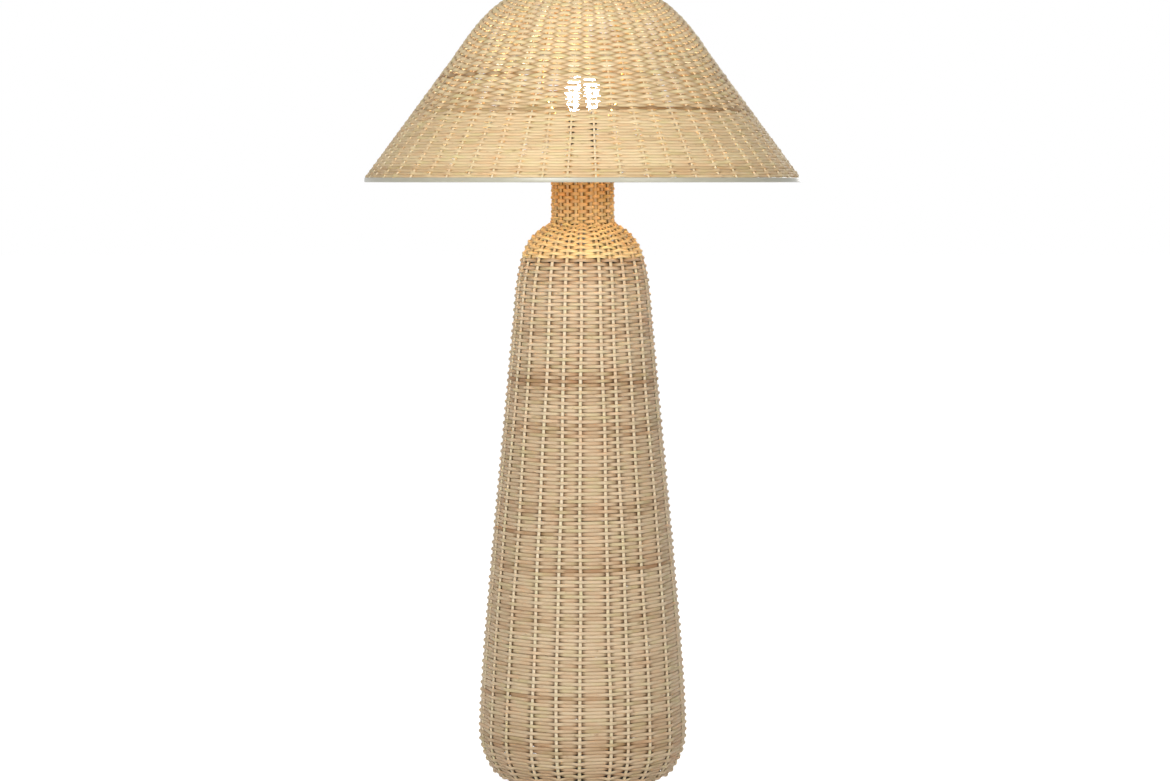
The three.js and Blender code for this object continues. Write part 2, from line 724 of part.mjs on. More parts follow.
/** The bulb, standing on its contact: base, insulator, collar, board and frosted globe. */
function addBulb(group) {
  const insulatorBottom = bulb.contactHeight + seatGap;
  const baseBottom = insulatorBottom + bulb.insulatorHeight + seatGap;
  const collarBottom = baseBottom + bulb.baseHeight + seatGap;
  const collarTop = collarBottom + bulb.collarHeight;
  const globeBottom = collarTop + seatGap;
  piece(group, "bulb_contact",
    turnedSolid([at(bulb.contactRadius / 2, 0), at(bulb.contactRadius, bulb.contactHeight / 2),
      at(bulb.contactRadius, bulb.contactHeight)]), finish(0xb8bbbd, 0.3, 1));
  piece(group, "bulb_insulator",
    turnedSolid([at(bulb.contactRadius, insulatorBottom), at(bulb.insulatorRadius, baseBottom - seatGap)]),
    finish(0x16161a, 0.2));
  piece(group, "bulb_base",
    turnedSolid([at(bulb.insulatorRadius, baseBottom), at(bulb.baseRadius, baseBottom + bulb.baseChamfer),
      at(bulb.baseRadius, collarBottom - seatGap)]), finish(0xc9c9c6, 0.3, 1));
  const waist = (bulb.baseRadius + bulb.collarRadius) / 2;
  const middle = (collarBottom + collarTop) / 2;
  piece(group, "bulb_collar",
    turnedSolid([at(bulb.baseRadius, collarBottom), at(waist - bulb.collarDip, middle),
      at(bulb.collarRadius, collarTop)]), finish(0xf1efe9, 0.5));

  const boardRadius = bulb.collarRadius - bulb.globeWall * 2;
  const board = flatRing(bulb.contactRadius, boardRadius, globeBottom, globeBottom + bulb.boardThickness);
  piece(group, "bulb_led_board", board, finish(0xe9e9e4, 0.4));
  const tangentRadius = bulb.globeRadius * Math.cos(bulbConeAngle);
  const tangentDrop = bulb.globeRadius * Math.sin(bulbConeAngle);
  const coneHeight = (tangentRadius - bulb.collarRadius) / Math.tan(bulbConeAngle);
  const centre = globeBottom + coneHeight + tangentDrop;
  const arc = (radius, steps) => Array.from({ length: steps + 1 }, (_, i) => {
    const angle = THREE.MathUtils.lerp(-bulbConeAngle, Math.PI / 2, i / steps);
    return at(radius * Math.cos(angle), centre + radius * Math.sin(angle));
  });
  const outside = [at(bulb.collarRadius, globeBottom), ...arc(bulb.globeRadius, bulb.outerSteps)];
  const insideRadius = bulb.globeRadius - bulb.globeWall;
  const insideFoot = at(bulb.collarRadius - bulb.globeWall, globeBottom);
  const inside = [insideFoot, ...arc(insideRadius, bulb.innerSteps)];
  outside[outside.length - 1].x = 0;
  inside[inside.length - 1].x = 0;
  const globe = turned([...outside, ...inside.reverse(), outside[0]], bulb.segments);
  piece(group, "bulb_globe", globe, finish(0xfff6e2, 0.35));
}

/** The outer outline of the shade, from the top of the hoop to the opening in the dome. */
function shadeOutline() {
  const share = domeHandleShares;
  const foot = at(shade.radius, hoop.height);
  const coneTop = at(shade.coneTopRadius, shade.coneTopHeight);
  const crown = at(shade.openingRadius, shade.height);
  const lean = coneTop.clone().sub(foot).normalize();
  const domeRise = crown.y - coneTop.y;
  const dome = new THREE.CubicBezierCurve(
    coneTop,
    coneTop.clone().addScaledVector(lean, domeRise * share.cone),
    at(crown.x + domeRise * share.crown, crown.y),
    crown,
  );
  return traced([
    { curve: new THREE.LineCurve(foot, coneTop), steps: 1 },
    { curve: dome, steps: shade.domeSteps },
  ]);
}

/** The woven shade, the painted hoop below it, and the wire cage and spider that carry it. */
function addShade(group) {
  const outer = shadeOutline();
  const inner = offset(outer, shade.wall);
  const skinBottom = hoop.height + seatGap;
  const skin = wovenWall(outer, inner, skinBottom, Infinity, shade.segments);
  piece(group, "shade_skin", skin, finish(0xe0c08a, 0.65));

  const hoopOuter = shade.radius + hoop.overhang;
  const hoopInner = hoopOuter - hoop.thickness;
  const round = hoop.edgeRound;
  const hoopSection = turnedRing([
    at(hoopInner, 0), at(hoopOuter - round, 0), at(hoopOuter, round),
    at(hoopOuter, hoop.height - round), at(hoopOuter - round, hoop.height), at(hoopInner, hoop.height),
  ], shade.segments);
  piece(group, "shade_hoop", hoopSection, finish(0xe6e6d8, 0.4));

  const wireLine = offset(outer, shade.wall + seatGap + cageWire / 2);
  const ringRadius = inner[inner.length - 1].x - seatGap - cageWire / 2;
  const ribTop = wireLine[wireLine.length - 1].y;
  const lowRingRadius = hoopInner - seatGap - cageWire / 2;
  const lowRingHeight = hoop.height / 2;
  const skinCorner = radiusAt(inner, skinBottom);
  const ribPoints = [
    at(lowRingRadius, lowRingHeight),
    at(skinCorner - cage.kneeInset, skinBottom - cage.kneeDrop),
    ...stretch(wireLine, skinBottom + cageWire, Infinity),
    at(ringRadius - cageWire / 2, ribTop),
  ];
  const ring = (radius, height) => wireRing(radius, height, cageWire, cage.wireSides, cage.ringSegments);
  const ribs = around(cage.ribs, (angle) => uprightWire(ribPoints, angle, cageWire, cage.wireSides));
  const middleRadius = radiusAt(wireLine, shade.coneTopHeight) - cageWire + weldSink;
  const middle = ring(middleRadius, shade.coneTopHeight);
  const wires = join(ring(lowRingRadius, lowRingHeight), middle, ...ribs);
  piece(group, "shade_cage", wires, finish(0xe6e6d8, 0.4));

  const ringHeight = ribTop + cageWire + seatGap;
  const washerMiddle = ringHeight - spider.drop;
  const hole = harp.studRadius + spider.holeClearance;
  const washerBottom = washerMiddle - spider.washerThickness / 2;
  const washerDisc = flatRing(hole, spider.washerRadius, washerBottom, washerBottom + spider.washerThickness);
  const armStart = spider.washerRadius - spider.washerThickness;
  const armPoints = [
    at(armStart, washerMiddle),
    at(THREE.MathUtils.lerp(armStart, ringRadius, 1 / 3), washerMiddle),
    at(THREE.MathUtils.lerp(armStart, ringRadius, 2 / 3), (washerMiddle + ringHeight) / 2),
    at(ringRadius, ringHeight),
  ];
  const arms = around(spider.arms, (angle) =>
    uprightWire(armPoints, angle, cageWire, cage.wireSides), Math.PI / cage.ribs);
  const topRing = wireRing(ringRadius, ringHeight, cageWire, cage.wireSides, spider.ringSegments);
  piece(group, "shade_spider", join(topRing, washerDisc, ...arms), finish(0xe6e6d8, 0.4));
  return washerBottom;
}

/** The turned finial that screws on the harp's stud, on its washer. */
function addFinial(group) {
  const hole = harp.studRadius + finial.threadClearance;
  const ring = flatRing(hole, finial.washerRadius, 0, finial.washerThickness);
  piece(group, "finial_washer", ring, finish(0xb6934f, 0.3, 1));
  const bottom = finial.washerThickness + seatGap;
  const neckTop = bottom + finial.footHeight + finial.neckHeight;
  const ballStart = Math.asin(finial.neckRadius / finial.ballRadius);
  const centre = neckTop + finial.ballRadius * Math.cos(ballStart);
  const ball = Array.from({ length: finial.ballSteps + 1 }, (_, i) => {
    const angle = THREE.MathUtils.lerp(ballStart - Math.PI / 2, Math.PI / 2, i / finial.ballSteps);
    return at(finial.ballRadius * Math.cos(angle), centre + finial.ballRadius * Math.sin(angle));
  });
  ball[ball.length - 1].x = 0;
  const knob = turned([
    at(0, bottom),
    at(finial.footRadius, bottom),
    at(finial.footRadius, bottom + finial.footHeight / 2),
    at(finial.neckRadius, bottom + finial.footHeight),
    ...ball,
  ], finial.segments);
  const studTop = harp.studHeight - spider.washerThickness - seatGap * 2;
  const blind = roundBar(hole, bottom - cutOverrun, studTop + finial.threadClearance);
  piece(group, "finial", cut(knob, blind), finish(0xb6934f, 0.25, 1));
}

const lamp = new THREE.Group();
const stand = new THREE.Group();
lamp.add(stand);

const bottle = bottleOutline();
addFoot(stand);
const { bridgeUnderside } = addBodyFrame(stand, bottle);
addSkins(stand, bottle);
addCentreTube(stand, bridgeUnderside);
addNeckTop(stand);
const crownTop = addHarp(stand);
addSleeve(stand, "harp_sleeve_left", -1);
addSleeve(stand, "harp_sleeve_right", 1);
const bulbSeat = addLampHolder(stand);

const bulbGroup = new THREE.Group();
addBulb(bulbGroup);
bulbGroup.position.z = bulbSeat;
lamp.add(bulbGroup);

const shadeGroup = new THREE.Group();
const washerBottom = addShade(shadeGroup);
shadeGroup.position.z = crownTop + seatGap - washerBottom;
lamp.add(shadeGroup);

const finialGroup = new THREE.Group();
addFinial(finialGroup);
finialGroup.position.z = crownTop + seatGap + spider.washerThickness + seatGap;
lamp.add(finialGroup);

export default lamp;
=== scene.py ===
import logging
import math
from dataclasses import dataclass, field, replace
from enum import Enum
from typing import Callable, Sequence

import bpy
import numpy as np
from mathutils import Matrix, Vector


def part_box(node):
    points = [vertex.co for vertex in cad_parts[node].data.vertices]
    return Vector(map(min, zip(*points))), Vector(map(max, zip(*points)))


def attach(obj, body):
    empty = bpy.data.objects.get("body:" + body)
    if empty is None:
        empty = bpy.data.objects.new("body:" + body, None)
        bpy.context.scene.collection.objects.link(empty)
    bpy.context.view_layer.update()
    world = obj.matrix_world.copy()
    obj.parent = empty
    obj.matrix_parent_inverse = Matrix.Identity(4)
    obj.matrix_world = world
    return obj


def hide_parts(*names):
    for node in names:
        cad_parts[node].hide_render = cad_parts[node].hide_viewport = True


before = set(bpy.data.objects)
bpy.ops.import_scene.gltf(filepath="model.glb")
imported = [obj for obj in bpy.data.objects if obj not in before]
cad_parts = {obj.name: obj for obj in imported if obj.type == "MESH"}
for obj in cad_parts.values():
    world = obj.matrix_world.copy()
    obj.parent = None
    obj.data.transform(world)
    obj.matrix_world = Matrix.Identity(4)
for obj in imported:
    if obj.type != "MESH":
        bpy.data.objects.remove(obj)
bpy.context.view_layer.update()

Array = np.ndarray
Socket = bpy.types.NodeSocket
Material = bpy.types.Material
Corners = Sequence[tuple[float, float]]

MM = 0.001
TURN = 2 * math.pi
ALL_SMOOTH = 180.0  # degrees: no edge stays sharp
WHITE = (1.0, 1.0, 1.0, 1.0)
LOG = logging.getLogger("rattan_lamp")

# Sizes shared with the frame, in millimetres
WALL_GAP, BODY_WALL, SHADE_WALL = 0.3, 8.0, 7.0
BORDER_RING, BORDER_HEIGHT, BORDER_RADIUS = 102.0, 8.6, 5.6
CAP_UNDERSIDE, SADDLE_TOP, HOLDER_BOTTOM, CROWN_TOP = 945.3, 948.7, 952.3, 1187.2
RIM_BOTTOM = 908.6
GROMMET_HEIGHT, GROMMET_TURN = 66.0, math.pi
BULB_THREAD_PITCH = 3.63


class Level(Enum):
    """How finely a round piece is divided."""

    SMALL = 32
    MIDDLE = 64
    LARGE = 192


# Shapes
@dataclass
class Patch:
    """A closed surface: points in millimetres, four- and three-sided faces, and values kept at the points."""

    points: Array
    quads: Array
    triangles: Array
    values: dict[str, Array] = field(default_factory=dict)
    corners: Array | None = None  # the flat map's place of each corner of each four-sided face

    def moved(self, x: float) -> "Patch":
        """The patch moved sideways by x."""
        return replace(self, points=self.points + np.array([x, 0, 0]))


def linear(red: int, green: int, blue: int) -> tuple[float, float, float, float]:
    """The linear colour of a screen colour.

    Args:
        red, green, blue: the screen colour, 0 to 255.

    Returns:
        Red, green, blue and 1. Each share c becomes c / 12.92 below 0.04045, and ((c + 0.055) / 1.055) to the
        power 2.4 above it.
    """
    share = np.array([red, green, blue]) / 255
    value = np.where(share <= 0.04045, share / 12.92, ((share + 0.055) / 1.055) ** 2.4)
    return (*value.tolist(), 1.0)


def smooth_step(value: Array, low: float, high: float) -> Array:
    """A share that rises from 0 at low to 1 at high with level ends, 3t^2 - 2t^3."""
    t = np.clip((value - low) / (high - low), 0, 1)
    return t * t * (3 - 2 * t)


def bell(value: Array, middle: float, width: float, power: int = 2) -> Array:
    """A share that is 1 at the middle, exp(-((value - middle) / width) ^ power)."""
    return np.exp(-(((value - middle) / width) ** power))


def ramp(start: float, end: float, low: float, high: float) -> Callable:
    """A profile by distance that goes smoothly from start, up to low, to end, past high."""
    return lambda distance: start + (end - start) * smooth_step(distance, low, high)


def steady(value: float) -> Callable:
    """A profile by distance that is the same everywhere."""
    return lambda distance: value + 0.0 * distance


def crest(amount: float, middle: float, width: float) -> Callable:
    """A profile by distance that is a bell of this amount at the middle."""
    return lambda distance: amount * bell(distance, middle, width)


def total(*profiles: Callable) -> Callable:
    """The sum of several profiles by distance."""
    return lambda distance: sum(profile(distance) for profile in profiles)


def around(radius: Array, turn: Array, height: Array) -> Array:
    """Points at x = radius sin(turn), y = -radius cos(turn) and the height, with a turn of 0 at the front."""
    return np.stack(np.broadcast_arrays(radius * np.sin(turn), -radius * np.cos(turn), height), axis=-1)


def direction(degrees: float) -> Array:
    """The unit vector at an angle from the first axis."""
    return np.array([math.cos(math.radians(degrees)), math.sin(math.radians(degrees))])


def unit(vectors: Array) -> Array:
    """The vectors along the last axis, each divided by its length."""
    return vectors / np.linalg.norm(vectors, axis=-1, keepdims=True)


def rectangle(half_x: float, half_y: float) -> Array:
    """The corners of a rectangle about the origin."""
    return np.array([[-half_x, -half_y], [half_x, -half_y], [half_x, half_y], [-half_x, half_y]])


def frame_box(name: str) -> Array:
    """The lowest and highest corner of a frame node's box, in millimetres."""
    return np.array(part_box(name)) / MM


def bezier(*handles: Sequence[float], steps: int) -> Array:
    """A Bezier curve through its first and last handle.

    Args:
        handles: three or four points.
        steps: how many stretches it is divided into.

    Returns:
        steps + 1 points: the sum over the handles of choose(n, k) * t^k * (1 - t)^(n - k), the Bernstein
        weight, times the handle.
    """
    t = np.linspace(0, 1, steps + 1)[:, None]
    n = len(handles) - 1
    weights = [math.comb(n, k) * t**k * (1 - t) ** (n - k) for k in range(n + 1)]
    return sum(weight * np.array(handle, float) for weight, handle in zip(weights, handles))


def facing_out(patch: Patch) -> Patch:
    """The patch with its faces turned outwards.

    Args:
        patch: a closed surface.

    Returns:
        The same patch, its faces reversed if the volume they enclose, a sixth of the sum of
        a . (b x c) over all triangles, is negative.
    """
    faces = np.concatenate([patch.quads[:, [0, 1, 2]], patch.quads[:, [0, 2, 3]], patch.triangles])
    a, b, c = (patch.points[faces[:, i]] for i in range(3))
    if np.einsum("ij,ij->", a, np.cross(b, c)) >= 0:
        return patch
    corners = None if patch.corners is None else patch.corners[:, ::-1]
    return replace(patch, quads=patch.quads[:, ::-1], triangles=patch.triangles[:, ::-1], corners=corners)


def merged(patches: Sequence[Patch]) -> Patch:
    """Several closed surfaces as one.

    Args:
        patches: the surfaces.

    Returns:
        One patch, each surface turned outwards, without the values kept at their points.
    """
    parts = [facing_out(patch) for patch in patches]
    starts = np.cumsum([0] + [len(part.points) for part in parts])
    return Patch(np.concatenate([part.points for part in parts]),
                 np.concatenate([part.quads + start for part, start in zip(parts, starts)]),
                 np.concatenate([part.triangles + start for part, start in zip(parts, starts)]))


def skin(rings: Array, ends: Array | None) -> Patch:
    """A closed surface over rings of points.

    Args:
        rings: the points of each rod's rings, (rods, rings, sides, 3).
        ends: the two end points of each rod, (rods, 2, 3), or None where each last ring meets the first.

    Returns:
        Four-sided faces between neighbouring rings, and a fan of triangles round each end point.
    """
    rods, count, sides, _ = rings.shape
    i, j = np.arange(count if ends is None else count - 1)[:, None], np.arange(sides)
    k, m = (i + 1) % count, (j + 1) % sides
    grid = np.stack([i * sides + j, i * sides + m, k * sides + m, k * sides + j], axis=-1)
    base = np.arange(rods)[:, None] * count * sides
    quads = (base[..., None, None] + grid).reshape(-1, 4)
    points = rings.reshape(-1, 3)
    if ends is None:
        return Patch(points, quads, np.zeros((0, 3), int))
    last, centre = base + (count - 1) * sides, len(points) + np.arange(rods)[:, None] * 2
    fans = [(centre, base + m, base + j), (centre + 1, last + j, last + m)]
    triangles = [np.stack(np.broadcast_arrays(*fan), axis=-1).reshape(-1, 3) for fan in fans]
    return Patch(np.concatenate([points, ends.reshape(-1, 3)]), quads, np.concatenate(triangles))


def tube(path: Array, across: Array, half_across: Array | float, half_other: Array | float, sides: int = 8,
         closed: bool = False) -> Patch:
    """A round or oval rod along one path or several.

    Args:
        path: points, (n, 3) or (rods, n, 3).
        across: a direction at each point, near which the section's first axis lies.
        half_across, half_other: half the section along its two axes, numbers or arrays of the path's shape.
        sides: faces round the rod.
        closed: whether the path's end meets its start.

    Returns:
        The rods. The first axis a is across less its part along the tangent, the second b is the tangent
        crossed with a, and each ring holds p + half_across * cos(w) * a + half_other * sin(w) * b for w from
        0 to a turn. The value "reed" holds the length along the rod and the place in its section.
    """
    path = path if path.ndim == 3 else path[None]
    rods, count, _ = path.shape
    ahead, behind = np.roll(path, -1, axis=1), np.roll(path, 1, axis=1)
    along = unit(ahead - behind if closed else np.gradient(path, axis=1))
    first = unit(across - np.sum(across * along, axis=-1, keepdims=True) * along)
    second = np.cross(along, first)
    w = np.arange(sides) / sides * TURN
    wide = np.broadcast_to(half_across, (rods, count))[..., None] * np.cos(w)
    high = np.broadcast_to(half_other, (rods, count))[..., None] * np.sin(w)
    rings = path[:, :, None] + wide[..., None] * first[:, :, None] + high[..., None] * second[:, :, None]
    length = np.cumsum(np.linalg.norm(np.diff(path, axis=1, prepend=path[:, :1]), axis=-1), axis=1)
    place = np.stack(np.broadcast_arrays(length[..., None], wide, high), axis=-1).reshape(-1, 3)
    if closed:
        return replace(skin(rings, None), values={"reed": place})
    ends = np.stack([length[:, [0, -1]], np.zeros((rods, 2)), np.zeros((rods, 2))], axis=-1).reshape(-1, 3)
    return replace(skin(rings, path[:, [0, -1]]), values={"reed": np.concatenate([place, ends])})


def rounded(corners: Corners, radius: float, closed: bool, base: float = 0.0, steps: int = 3) -> Array:
    """A polyline of (radius, height) points with rounded corners.

    Args:
        corners: the points.
        radius: how far from a corner its rounding begins, limited to 0.45 of each side.
        closed: whether the last point joins the first. The ends of an open line stay as they are.
        base: what is added to the heights.
        steps: stretches in each rounding.

    Returns:
        For each corner p between a and b, both at that distance from p: (1-t)^2 a + 2t(1-t) p + t^2 b.
    """
    p = np.array(corners, float) + np.array([0, base])
    before, after = np.roll(p, 1, axis=0) - p, np.roll(p, -1, axis=0) - p
    a, b = (p + unit(v) * np.minimum(radius, 0.45 * np.linalg.norm(v, axis=1, keepdims=True))
            for v in (before, after))
    t = np.linspace(0, 1, steps + 1)[None, :, None]
    curve = (1 - t) ** 2 * a[:, None] + 2 * t * (1 - t) * p[:, None] + t**2 * b[:, None]
    return curve.reshape(-1, 2) if closed else np.concatenate([p[:1], curve[1:-1].reshape(-1, 2), p[-1:]])


def lathe(outline: Array, level: Level = Level.MIDDLE, swell: Callable | None = None) -> Patch:
    """A turned piece.

    Args:
        outline: (radius, height) points. A line that starts and ends on the axis makes a solid piece, and any
            other closes on itself, as a ring does.
        level: how many stretches there are round it.
        swell: adds to the radius, as a function of radius, turn and height, for threads and flutes.

    Returns:
        Rings at the outline's points, with single points where the line meets the axis.
    """
    turn = np.arange(level.value) / level.value * TURN
    solid = outline[0, 0] < 1e-6 and outline[-1, 0] < 1e-6
    radius, height = (outline[1:-1] if solid else outline).T[..., None] + 0 * turn
    if swell is not None:
        radius = radius + swell(radius, turn, height)
    poles = np.column_stack([np.zeros((2, 2)), outline[[0, -1], 1]])
    return skin(around(radius, turn, height)[None], poles[None] if solid else None)


def turned(corners: Corners, edge: float, base: float = 0.0, level: Level = Level.MIDDLE,
           steps: int = 3) -> Patch:
    """A turned piece from its section's (radius, height above base) corners, with rounded edges."""
    return lathe(rounded(corners, edge, corners[0][0] > 0, base, steps), level)


def thread(pitch: float, depth: float, low: float, high: float) -> Callable:
    """The swell of a screw thread.

    Args:
        pitch, depth: of the thread.
        low, high: the heights between which it is cut.

    Returns:
        A function of radius, turn and height: minus half the depth times 1 - cos of a turn for each pitch,
        following the turn, and fading out over half a pitch at both ends.
    """
    def swell(_: Array, turn: Array, height: Array) -> Array:
        """The thread's depth below the bar at each point."""
        fade = np.clip((height - low) / pitch * 2, 0, 1) * np.clip((high - height) / pitch * 2, 0, 1)
        return -depth / 2 * (1 - np.cos(TURN * height / pitch + turn)) * fade
    return swell


def prism(outline: Array, bottom: float, top: float, edge: float) -> Patch:
    """A flat plate of any outline with small bevels.

    Args:
        outline: (x, y) points of a convex shape about its middle.
        bottom, top: its two heights.
        edge: size of the bevels.

    Returns:
        Four rings of the outline, the lowest and the highest drawn in by edge, and two fans.
    """
    middle = outline.mean(axis=0)
    inner = outline + unit(middle - outline) * edge
    layers = [(inner, bottom), (outline, bottom + edge), (outline, top - edge), (inner, top)]
    rings = np.stack([np.column_stack([ring, np.full(len(ring), z)]) for ring, z in layers])
    return skin(rings[None], np.array([[[*middle, bottom], [*middle, top]]]))


def flat_corners(u: Array, v: Array, wide: float, high: float) -> Array:
    """The flat map of a grid of faces.

    Args:
        u, v: where each face starts.
        wide, high: the size of a face.

    Returns:
        For each face its corners (u, v), (u, v + high), (u + wide, v + high) and (u + wide, v).
    """
    u, v = np.broadcast_arrays(u, v)
    corners = [(u, v), (u, v + high), (u + wide, v + high), (u + wide, v)]
    return np.stack([np.stack(corner, axis=-1) for corner in corners], axis=-2).reshape(-1, 4, 2)


def linked(name: str, data: bpy.types.ID) -> bpy.types.Object:
    """Puts a new object into the scene.

    Args:
        name: its name.
        data: its mesh, light or camera.

    Returns:
        The object.
    """
    made = bpy.data.objects.new(name, data)
    bpy.context.scene.collection.objects.link(made)
    return made


def build(name: str, patch: Patch, nodes: str, material: Material, body: str = "stand",
          sharp: float = 40.0) -> None:
    """Makes a mesh object of a patch, dresses it and ties it to the frame.

    Args:
        name: the piece's name.
        patch: its surface, in millimetres.
        nodes: the frame's nodes it stands for, with a space between them.
        material: its finish.
        body: the body it rides on.
        sharp: edges that bend more than this many degrees stay sharp.
    """
    patch = facing_out(patch)
    corners = np.concatenate([patch.quads.ravel(), patch.triangles.ravel()])
    sizes = np.repeat([4, 3], [len(patch.quads), len(patch.triangles)])
    mesh = bpy.data.meshes.new(name)
    mesh.vertices.add(len(patch.points))
    mesh.vertices.foreach_set("co", (patch.points * MM).astype(np.float32).ravel())
    mesh.loops.add(len(corners))
    mesh.loops.foreach_set("vertex_index", corners.astype(np.int32))
    mesh.polygons.add(len(sizes))
    mesh.polygons.foreach_set("loop_start", (np.cumsum(sizes) - sizes).astype(np.int32))
    mesh.update(calc_edges=True)
    mesh.polygons.foreach_set("use_smooth", np.ones(len(sizes), bool))
    for key, value in patch.values.items():
        single = value.ndim == 1
        kind, inside, scale = ("FLOAT", "value", 1.0) if single else ("FLOAT_VECTOR", "vector", MM)
        attribute = mesh.attributes.new(key, kind, "POINT")
        attribute.data.foreach_set(inside, (value * scale).astype(np.float32).ravel())
    if patch.corners is not None:
        flat = np.zeros((len(corners), 2), np.float32)
        flat[:patch.quads.size] = patch.corners.reshape(-1, 2)
        mesh.uv_layers.new(name="OFBake").data.foreach_set("uv", flat.ravel())
    mesh.set_sharp_from_angle(angle=math.radians(sharp))
    mesh.materials.append(material)
    piece = linked(name, mesh)
    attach(piece, body)
    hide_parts(*nodes.split())
    LOG.info("%s: %d points, %d faces, on %s", name, len(patch.points), len(sizes), body)


# Finishes
class Recipe:
    """The node tree of a material or a world, built a node at a time."""

    def __init__(self, owner: bpy.types.ID, output: str = "OutputMaterial") -> None:
        """Starts an empty tree with its output.

        Args:
            owner: the new material or world.
            output: the output node's type.
        """
        self.owner = owner
        owner.use_nodes = True
        self.tree = owner.node_tree
        self.tree.nodes.clear()
        self.output = self.add(output)

    def add(self, kind: str, inputs: dict | None = None, **settings: object) -> bpy.types.Node:
        """Adds a node.

        Args:
            kind: the node's type, without ShaderNode.
            inputs: a value or a socket for each named or numbered input.
            settings: the node's own properties.

        Returns:
            The node.
        """
        node = self.tree.nodes.new("ShaderNode" + kind)
        for key, value in settings.items():
            setattr(node, key, value)
        for key, value in (inputs or {}).items():
            if isinstance(value, Socket):
                self.tree.links.new(value, node.inputs[key])
            else:
                node.inputs[key].default_value = value
        return node

    def place(self) -> Socket:
        """The place on the piece, in its own coordinates."""
        return self.add("TexCoord").outputs["Object"]

    def kept(self, name: str, output: str = "Fac") -> Socket:
        """A value that the piece's mesh keeps at its points."""
        return self.add("Attribute", attribute_name=name, attribute_type="GEOMETRY").outputs[output]

    def mapped(self, place: Socket, **inputs: tuple) -> Socket:
        """A place scaled or moved."""
        return self.add("Mapping", {"Vector": place, **inputs}).outputs[0]

    def math(self, how: str, first: Socket, second: Socket) -> Socket:
        """Two values made one."""
        return self.add("Math", {0: first, 1: second}, operation=how).outputs[0]

    def noise(self, place: Socket, scale: float, detail: float = 3.0, rough: float = 0.5) -> Socket:
        """A noise pattern's value at a place."""
        node = self.add("TexNoise", {0: place, "Scale": scale, "Detail": detail, "Roughness": rough})
        return node.outputs["Fac"]

    def span(self, value: Socket, low: float, high: float, to_low: float, to_high: float) -> Socket:
        """A value carried from one range into another, held at its ends."""
        return self.add("MapRange", {0: value, 1: low, 2: high, 3: to_low, 4: to_high}).outputs[0]

    def blend(self, share: Socket | float, first: object, second: object, how: str = "MIX") -> Socket:
        """Two colours mixed by a share."""
        return self.add("Mix", {0: share, 6: first, 7: second}, data_type="RGBA", blend_type=how).outputs[2]

    def colours(self, value: Socket, *stops: tuple[float, tuple]) -> Socket:
        """A colour for each value.

        Args:
            value: the value.
            stops: values with their colours, between which the colours pass into each other.

        Returns:
            The colour.
        """
        node = self.add("ValToRGB", {0: value})
        elements = node.color_ramp.elements
        for index, (position, colour) in enumerate(stops):
            element = elements[index] if index < len(elements) else elements.new(position)
            element.position, element.color = position, colour
        return node.outputs[0]

    def bump(self, height: Socket, distance: float, strength: float) -> Socket:
        """A normal that follows a height."""
        node = self.add("Bump", {"Height": height, "Distance": distance, "Strength": strength})
        return node.outputs["Normal"]

    def switch(self, share: Socket, first: Socket, second: Socket) -> Socket:
        """Two shaders mixed by a share."""
        return self.add("MixShader", {0: share, 1: first, 2: second}).outputs[0]

    def looked_at(self) -> Socket:
        """One where the camera, a reflection or glass looks, and nought where light is gathered.

        Returns:
            The value.
        """
        rays = self.add("LightPath").outputs
        mirrored = self.math("MAXIMUM", rays["Is Glossy Ray"], rays["Is Transmission Ray"])
        return self.math("MAXIMUM", rays["Is Camera Ray"], mirrored)

    def end(self, shader: Socket) -> bpy.types.ID:
        """Puts the shader into the output and gives back the finished material or world."""
        self.tree.links.new(shader, self.output.inputs["Surface"])
        return self.owner

    def surface(self, **inputs: object) -> Material:
        """Ends the tree in one principled surface, whose inputs are named with _ for a space."""
        named = {key.replace("_", " "): value for key, value in inputs.items()}
        return self.end(self.add("BsdfPrincipled", named).outputs[0])


